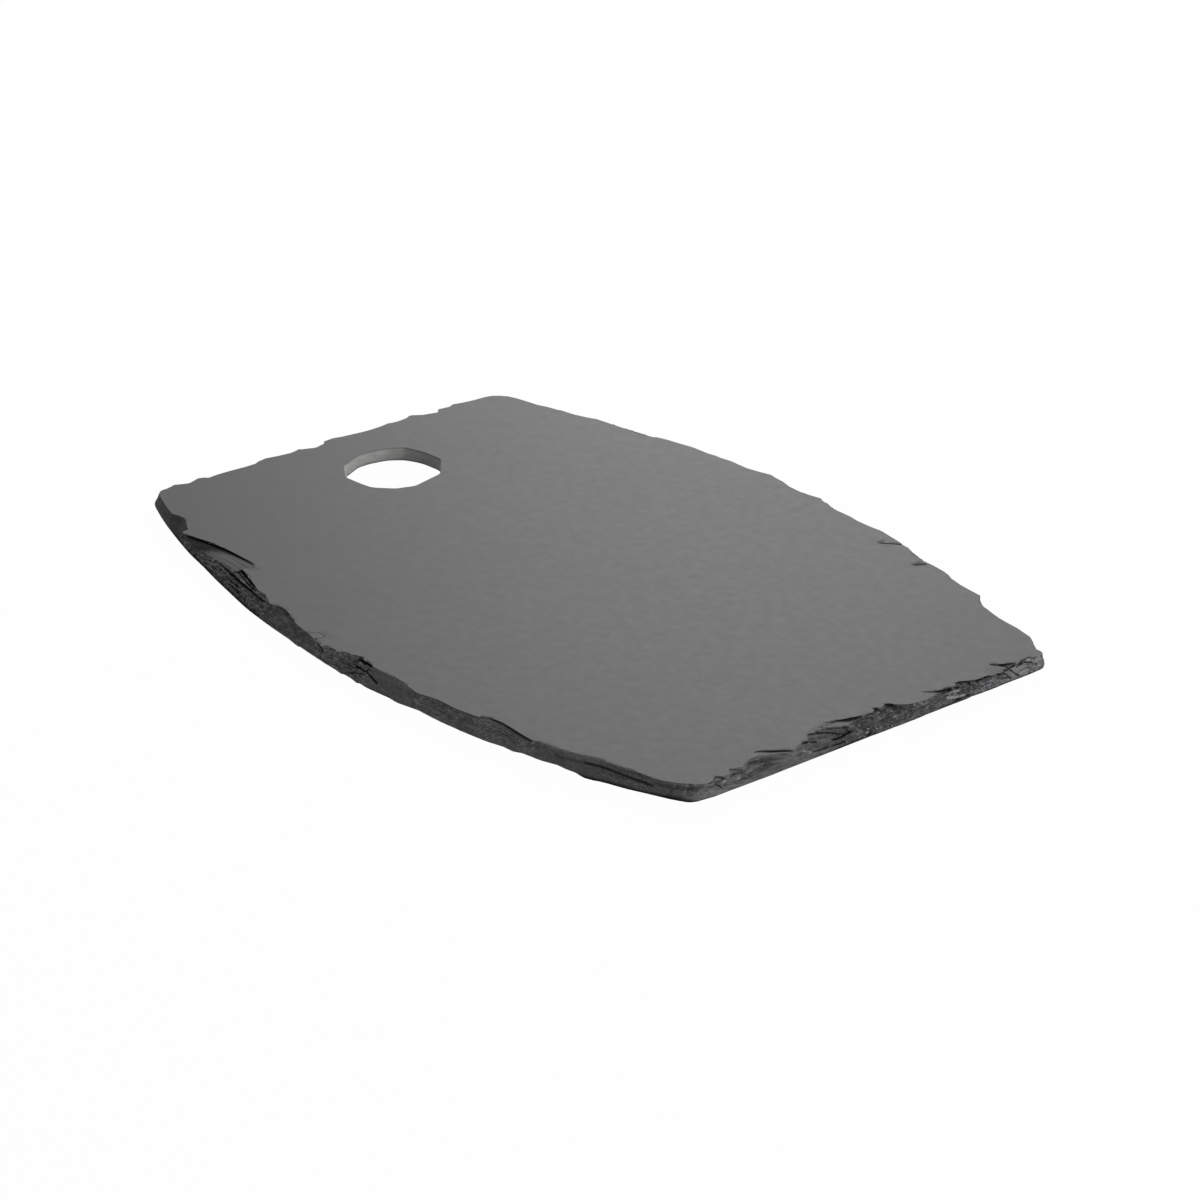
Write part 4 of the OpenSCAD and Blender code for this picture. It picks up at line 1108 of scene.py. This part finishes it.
def cleave_tree():
    """Relief of cleaved stone: grain and chips on the broken edge, a gentle swell on the serving face."""
    chip_squash = (1.0, 1.0, 1.7)
    chip_dome, chip_level = 0.6, 0.8
    sizes = ("Grain Size", "Grain Depth", "Chip Size", "Chip Depth", "Swell Size", "Swell Depth")
    cleave = Relief("cleave", dict.fromkeys((*sizes, "Top", "Seed"), "Float"))
    given = cleave.given
    place = cleave.get("GeometryNodeInputPosition")
    normal = cleave.get("GeometryNodeInputNormal")

    def scale(size):
        return cleave.maths("DIVIDE", 1.0, given[size])

    def noise(size, detail):
        made = cleave.get("ShaderNodeTexNoise", {
            "Vector": place, "W": given["Seed"], "Scale": scale(size), "Detail": detail,
        }, noise_dimensions="4D")
        return cleave.less(made, 0.5)

    grain = cleave.times(noise("Grain Size", 3.0), given["Grain Depth"])
    flat = cleave.get("ShaderNodeVectorMath", {0: place, 1: chip_squash}, operation="MULTIPLY")
    cells = cleave.add("ShaderNodeTexVoronoi", {"Vector": flat, "Scale": scale("Chip Size")}, feature="F1")
    lot = cleave.get("FunctionNodeSeparateColor", {0: cells.outputs["Color"]})
    block = cleave.plus(lot, cleave.times(cells.outputs["Distance"], chip_dome))
    chip = cleave.times(cleave.less(block, chip_level), given["Chip Depth"])
    amount = cleave.times(cleave.mark("broken"), cleave.mark("rough"))
    push = cleave.times(cleave.less(grain, chip), amount)
    along = cleave.get("ShaderNodeVectorMath", {0: normal, "Scale": push}, operation="SCALE")
    torn = cleave.move(given["Geometry"], along)

    height = cleave.add("ShaderNodeSeparateXYZ", {0: place}).outputs["Z"]
    upper = cleave.maths("GREATER_THAN", height, given["Top"])
    swell = cleave.times(noise("Swell Size", 2.0), given["Swell Depth"])
    lift = cleave.get("ShaderNodeCombineXYZ", {"Z": cleave.times(swell, upper)})
    cleave.close(cleave.move(torn, lift))
    return cleave


class Finish(Nodes):
    """New material with the textures that the finishes of this board are made of."""

    def __init__(self, name):
        self.material = bpy.data.materials.new(name)
        self.material.use_nodes = True
        super().__init__(self.material.node_tree)
        self.shader = self.tree.nodes["Principled BSDF"]
        self.place = self.add("ShaderNodeTexCoord").outputs["Object"]

    def mark(self, name):
        return self.add("ShaderNodeAttribute", attribute_name=name).outputs["Fac"]

    def squeeze(self, scale, lean):
        """Place stretched by a scale for each axis, after it is leant over about X."""
        turn = {"Vector": self.place, "Angle": lean}
        leant = self.get("ShaderNodeVectorRotate", turn, rotation_type="X_AXIS")
        return self.get("ShaderNodeMapping", {"Vector": leant, "Scale": scale})

    def noise(self, scale, detail=2.0, roughness=0.5, squeeze=None, lean=0.0):
        vector = self.squeeze(squeeze, lean) if squeeze else self.place
        return self.get("ShaderNodeTexNoise", {
            "Vector": vector, "Scale": scale, "Detail": detail, "Roughness": roughness})

    def growth(self, value, lines, run):
        """Noise in lines of equal value, which change slowly along the stone."""
        along = self.get("ShaderNodeMapping", {"Vector": self.place, "Scale": (run, run, 0)})
        across = self.get("ShaderNodeCombineXYZ", {"Z": self.times(value, lines)})
        vector = self.get("ShaderNodeVectorMath", {0: along, 1: across}, operation="ADD")
        return self.get("ShaderNodeTexNoise", {"Vector": vector, "Scale": 1.0, "Detail": 3.0})

    def grains(self, scale):
        """Random value for each grain of the stone."""
        cells = self.add("ShaderNodeTexVoronoi", {"Vector": self.place, "Scale": scale})
        return self.get("ShaderNodeSeparateColor", {0: cells.outputs["Color"]})

    def ramp(self, value, *stops):
        """Colours or grey values at places along a value."""
        node = self.add("ShaderNodeValToRGB", {0: value})
        elements = node.color_ramp.elements
        while len(elements) < len(stops):
            elements.new(0.5)
        for element, (position, colour) in zip(elements, stops):
            element.position = position
            element.color = (*colour, 1) if isinstance(colour, tuple) else (colour, colour, colour, 1)
        return node.outputs[0]

    def mix(self, factor, a, b, blend="MIX"):
        colours = {0: factor, 6: a, 7: b}
        return self.add("ShaderNodeMix", colours, data_type="RGBA", blend_type=blend).outputs[2]

    def tint(self, a, b):
        """One colour multiplied by another."""
        return self.mix(1.0, a, b, "MULTIPLY")

    def set(self, **inputs):
        for name, value in inputs.items():
            self.give(self.shader.inputs[name.replace("_", " ")], value)

    def bump(self, height, strength):
        made = self.get("ShaderNodeBump", {"Height": height, "Strength": strength, "Distance": 1.0})
        self.set(Normal=made)


def slate_finish():
    """Cleaved slate: matt face, darker break with pale grains in its layers, and paler drilled wall; painted
    shade in slits, under risers and along arrises, and painted glints on the break.
    """
    slate = Finish("slate")
    broken, rough, sheeted = slate.mark("broken"), slate.mark("rough"), slate.mark("sheeted")
    pale, reach = slate.mark("pale"), slate.mark("reach")

    clouds = slate.ramp(slate.noise(24, 3.0), (0.3, (0.1345, 0.136, 0.136)), (0.7, (0.1405, 0.141, 0.1415)))
    mottle = slate.ramp(slate.noise(170, 5.0, 0.65), (0.3, 0.988), (0.7, 1.012))
    face = slate.tint(clouds, mottle)
    lines = slate.ramp(slate.growth(reach, 11.0, 55.0), (0.36, 0.45), (0.48, 0.82), (0.60, 1.0))
    face = slate.mix(slate.ramp(reach, (0.04, 0.0), (0.20, 1.0)), face, slate.tint(face, lines))

    streaks = slate.noise(1.0, 4.0, 0.6, (110, 110, 2600))
    dressed = slate.ramp(slate.noise(1.0, 4.0, 0.6, (70, 70, 700)),
                         (0.3, (0.062, 0.063, 0.064)), (0.7, (0.098, 0.098, 0.099)))
    chunks = slate.times(slate.noise(1000, 5.0, 0.7, (1, 1, 1.6)), 0.5)
    chunks = slate.plus(chunks, slate.times(slate.noise(420, 3.0, 0.6, (1, 1, 2.2), 0.5), 0.35))
    chunks = slate.plus(chunks, slate.times(streaks, 0.15))
    torn = slate.ramp(chunks, (0.42, (0.012, 0.012, 0.013)), (0.5, (0.08, 0.08, 0.083)), (0.59, 0.26))
    grain = slate.grains(1500.0)
    torn = slate.mix(slate.ramp(grain, (0.88, 0.0), (0.97, 0.75)), torn, PALE_GRAIN)
    warm = slate.ramp(slate.noise(420, 2.0), (0.35, (0.95, 0.97, 1.06)), (0.65, (1.05, 1.0, 0.95)))
    tone = slate.plus(slate.times(slate.mark("tone"), 0.5), 0.5)
    torn = slate.tint(slate.tint(torn, warm), slate.ramp(tone, (0.0, 0.7), (1.0, 1.3)))
    edge = slate.mix(rough, dressed, torn)
    wisps = slate.noise(1.0, 4.0, 0.62, (90, 90, 1300), math.radians(11))
    sheets = slate.ramp(wisps, (0.30, (0.030, 0.030, 0.032)), (0.42, (0.080, 0.080, 0.084)),
                        (0.55, (0.112, 0.112, 0.116)), (0.68, (0.17, 0.17, 0.172)))
    edge = slate.tint(slate.mix(slate.times(sheeted, 0.8), edge, sheets), pale)
    feather = slate.plus(slate.mark("rise"), slate.times(slate.less(wisps, 0.5), 0.9))
    feather = slate.ramp(feather, (0.62, 0.0), (1.0, 0.9))
    edge = slate.mix(slate.times(feather, slate.ramp(sheeted, (0.5, 0.0), (1.0, 1.0))), edge, face)
    # Pale crushed stone, and painted glints on bright facets
    edge = slate.mix(slate.mark("crushed_and_glint"), edge, CRUSHED_STONE_AND_GLINT)
    tread = slate.ramp(slate.mark("tread"), (0.80, 0.0), (0.97, 0.8))
    edge = slate.mix(tread, edge, slate.tint(face, WORN_TREAD))

    wall = slate.ramp(slate.noise(1.0, 3.0, 0.5, (180, 180, 1500)),
                      (0.3, (0.34, 0.34, 0.335)), (0.7, (0.46, 0.46, 0.45)))
    colour = slate.mix(slate.mark("bored"), slate.mix(broken, face, edge), slate.tint(wall, pale))
    # Painted shade: near black in the slits, under the risers of the flakes, along the lower arris and down
    # the hole's wall
    painted_shade = slate.greater(slate.mark("painted_arris_shade"), slate.greater(slate.mark("painted_slit_shade"), slate.mark("painted_riser_shade")))
    dull = slate.less(1.0, slate.times(broken, 0.7))
    slate.set(Base_Color=slate.mix(painted_shade, colour, PAINTED_SHADE_COLOUR))
    slate.set(Specular_IOR_Level=slate.times(slate.less(1.0, painted_shade), slate.times(dull, 0.3)))
    slate.set(Roughness=slate.ramp(slate.noise(260, 3.0), (0.3, 0.62), (0.7, 0.65)))

    fine = slate.times(slate.noise(1900, 4.0, 0.7), 0.008 * MM)
    ripple = slate.times(slate.noise(1.0, 3.0, 0.5, (40, 140, 140)), 0.0045 * MM)
    coarse = slate.times(slate.times(slate.plus(streaks, grain), 0.2 * MM), rough)
    coarse = slate.times(slate.plus(coarse, slate.times(wisps, 0.3 * MM)), broken)
    slate.bump(slate.plus(slate.plus(fine, ripple), coarse), 0.8)
    return slate.material


def rubber_finish():
    """Dull black rubber with a trace of dust."""
    rubber = Finish("foot_rubber")
    dust = rubber.noise(420, 4.0, 0.6)
    rubber.set(Base_Color=rubber.ramp(dust, (0.35, (0.008, 0.008, 0.009)), (0.75, (0.022, 0.022, 0.023))))
    rubber.set(Roughness=rubber.ramp(rubber.noise(900, 3.0), (0.3, 0.6), (0.7, 0.8)))
    rubber.set(Specular_IOR_Level=0.35)
    rubber.bump(rubber.times(rubber.noise(2600, 3.0), 0.04 * MM), 0.6)
    return rubber.material


def adhesive_finish():
    """Milky double-sided film with small pale bubbles."""
    film = Finish("adhesive")
    milk = film.ramp(film.noise(700, 3.0), (0.3, (0.48, 0.47, 0.42)), (0.7, (0.60, 0.59, 0.54)))
    bubbles = film.ramp(film.grains(1800), (0.9, 0.0), (0.95, 0.6))
    film.set(Base_Color=film.mix(bubbles, milk, (0.7, 0.7, 0.66, 1)))
    film.set(Roughness=film.ramp(film.noise(500, 2.0), (0.3, 0.35), (0.7, 0.55)))
    film.bump(film.times(film.noise(1500, 2.0), 0.03 * MM), 0.5)
    return film.material


def mica_finish():
    """Pale mica flecks that catch the light."""
    mica = Finish("mica")
    glint = mica.noise(900, 2.0)
    mica.set(Base_Color=mica.ramp(glint, (0.3, (0.30, 0.30, 0.29)), (0.7, (0.50, 0.50, 0.48))))
    mica.set(Roughness=mica.ramp(mica.noise(1500, 2.0), (0.3, 0.25), (0.7, 0.45)))
    mica.bump(mica.times(mica.noise(4000, 2.0), 0.02 * MM), 0.5)
    return mica.material


def add_piece(piece, slot, *nodes):
    """Puts a finished piece on the board, in place of the nodes that it refines."""
    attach(piece, "root")
    if nodes:
        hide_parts(*nodes)


def soften(mesh, angle):
    """Shades a mesh smooth, apart from its edges sharper than an angle in degrees."""
    mesh.shade_smooth()
    mesh.set_sharp_from_angle(angle=math.radians(angle))


def make_slab():
    slab = cleave_tree().grow(slab_mesh(), "riven_slab", {
        "Grain Size": 0.9 * MM, "Grain Depth": 0.22 * MM, "Chip Size": 1.5 * MM, "Chip Depth": 0.34 * MM,
        "Swell Size": 55 * MM, "Swell Depth": 0.12 * MM, "Top": SLAB_HIGH.z - 0.2 * MM, "Seed": float(SEED),
        "Material": slate_finish(),
    })
    soften(slab.data, 38)
    put_attribute(slab.data, "tread", [v.normal.z for v in slab.data.vertices])
    add_piece(slab, "slate", "slate_slab")
    return slab


def fleck_tree():
    """Mica flecks scattered over the rough break, lying on its surface."""
    fleck_shape = (1.0, 0.7, 0.35)
    smallest, largest = 0.4, 1.3
    flecks = Relief("flecks", {"Density": "Float", "Size": "Float", "Seed": "Int"})
    given = flecks.given
    amount = flecks.times(flecks.mark("broken"), flecks.maths("POWER", flecks.mark("rough"), 3.0))
    scattered = flecks.add("GeometryNodeDistributePointsOnFaces", {
        "Mesh": given["Geometry"], "Density": flecks.times(amount, given["Density"]),
        "Seed": given["Seed"]})
    crystal = flecks.get("GeometryNodeMeshIcoSphere", {"Radius": given["Size"], "Subdivisions": 1})
    flat = flecks.get("GeometryNodeTransform", {"Geometry": crystal, "Scale": fleck_shape})
    size = flecks.add("FunctionNodeRandomValue", {2: smallest, 3: largest, "Seed": given["Seed"]},
                      data_type="FLOAT")
    placed = flecks.get("GeometryNodeInstanceOnPoints", {
        "Points": scattered.outputs["Points"], "Instance": flat,
        "Rotation": scattered.outputs["Rotation"], "Scale": size.outputs[1]})
    flecks.close(placed)
    return flecks


def make_flecks(slab):
    flecks = fleck_tree().grow(slab.data.copy(), "mica_flecks", {
        "Density": 60000.0, "Size": 0.28 * MM, "Seed": SEED, "Material": mica_finish()})
    add_piece(flecks, "slate")


def turned(name, turning, box, material):
    """Round piece turned about the upright axis of its box from points that start and end on the axis."""
    low, high = box
    centre = (low + high) / 2
    wide, tall = (high.x - low.x) / 2, high.z - low.z
    angles = [2 * math.pi * i / TURNING_STEPS for i in range(TURNING_STEPS)]
    points, rings, faces = [], [], []
    for across, up in turning:
        radius, height = across * wide, low.z + up * tall
        if radius == 0:
            rings.append([len(points)] * TURNING_STEPS)
            points.append((centre.x, centre.y, height))
            continue
        rings.append([len(points) + i for i in range(TURNING_STEPS)])
        points += [(centre.x + radius * math.cos(a), centre.y + radius * math.sin(a), height)
                   for a in angles]
    for below, above in zip(rings, rings[1:]):
        for i in range(TURNING_STEPS):
            j = (i + 1) % TURNING_STEPS
            corners = (below[i], below[j], above[j], above[i])
            faces.append(tuple(dict.fromkeys(corners)))
    mesh = bpy.data.meshes.new(name)
    mesh.from_pydata(points, [], faces)
    mesh.materials.append(material)
    soften(mesh, 40)
    return add_object(name, mesh)


def make_feet():
    rubber, film = rubber_finish(), adhesive_finish()
    for corner in ("near_grip", "near_plain", "far_grip", "far_plain"):
        foot = turned("rubber_foot_" + corner, FOOT_TURNING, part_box("foot_pad_" + corner), rubber)
        add_piece(foot, "foot_rubber", "foot_pad_" + corner)
        disc = turned("film_" + corner, FILM_TURNING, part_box("adhesive_" + corner), film)
        add_piece(disc, "adhesive", "adhesive_" + corner)


def make_camera():
    data = bpy.data.cameras.new("camera")
    data.lens = VIEW_LENS
    data.sensor_width = VIEW_SENSOR
    data.clip_start = 0.05
    data.clip_end = 50.0
    camera = add_object("camera", data)
    camera.location = VIEW_POINT + VIEW_BACK * VIEW_DISTANCE
    camera.rotation_mode = "QUATERNION"
    camera.rotation_quaternion = (-VIEW_BACK).to_track_quat("-Z", "Y")
    bpy.context.scene.camera = camera


def make_light(name, size, place, power):
    data = bpy.data.lights.new(name, "AREA")
    data.shape = "RECTANGLE"
    data.size, data.size_y = size
    data.energy = power
    lamp = add_object(name, data)
    lamp.location = place
    lamp.rotation_mode = "QUATERNION"
    lamp.rotation_quaternion = (-Vector(place)).to_track_quat("-Z", "Y")


def make_floor():
    """White floor that looks like a bare background and still throws light back at the board."""
    half = 6.0
    glow_share = 0.985
    mesh = bpy.data.meshes.new("floor")
    corners = [(-half, -half, 0), (half, -half, 0), (half, half, 0), (-half, half, 0)]
    mesh.from_pydata(corners, [], [(0, 1, 2, 3)])
    floor = add_object("floor", mesh)
    material = bpy.data.materials.new("white_floor")
    material.use_nodes = True
    nodes = Nodes(material.node_tree)
    nodes.tree.nodes.clear()
    path = nodes.add("ShaderNodeLightPath").outputs
    mirrored = nodes.greater(path["Is Glossy Ray"], path["Is Transmission Ray"])
    seen = nodes.greater(path["Is Camera Ray"], mirrored)
    diffuse = nodes.get("ShaderNodeBsdfDiffuse", {"Color": (0.8, 0.8, 0.8, 1)})
    glow = nodes.get("ShaderNodeEmission", {"Strength": 1.0})
    both = nodes.get("ShaderNodeMixShader", {0: nodes.times(seen, glow_share), 1: diffuse, 2: glow})
    nodes.add("ShaderNodeOutputMaterial", {"Surface": both})
    mesh.materials.append(material)


def make_world():
    world = bpy.data.worlds.new("studio")
    bpy.context.scene.world = world
    world.use_nodes = True
    sky = world.node_tree.nodes["Background"]
    sky.inputs["Color"].default_value = (1, 1, 1, 1)
    sky.inputs["Strength"].default_value = 0.16


make_camera()
make_floor()
make_world()
make_flecks(make_slab())
make_feet()
make_light("key", (0.5, 0.5), (-0.75, 0.75, 0.60), 9.0)
make_light("fill", (0.5, 0.5), (1.0, 0.30, 0.25), 6.2)
bpy.context.scene.view_settings.view_transform = "Standard"
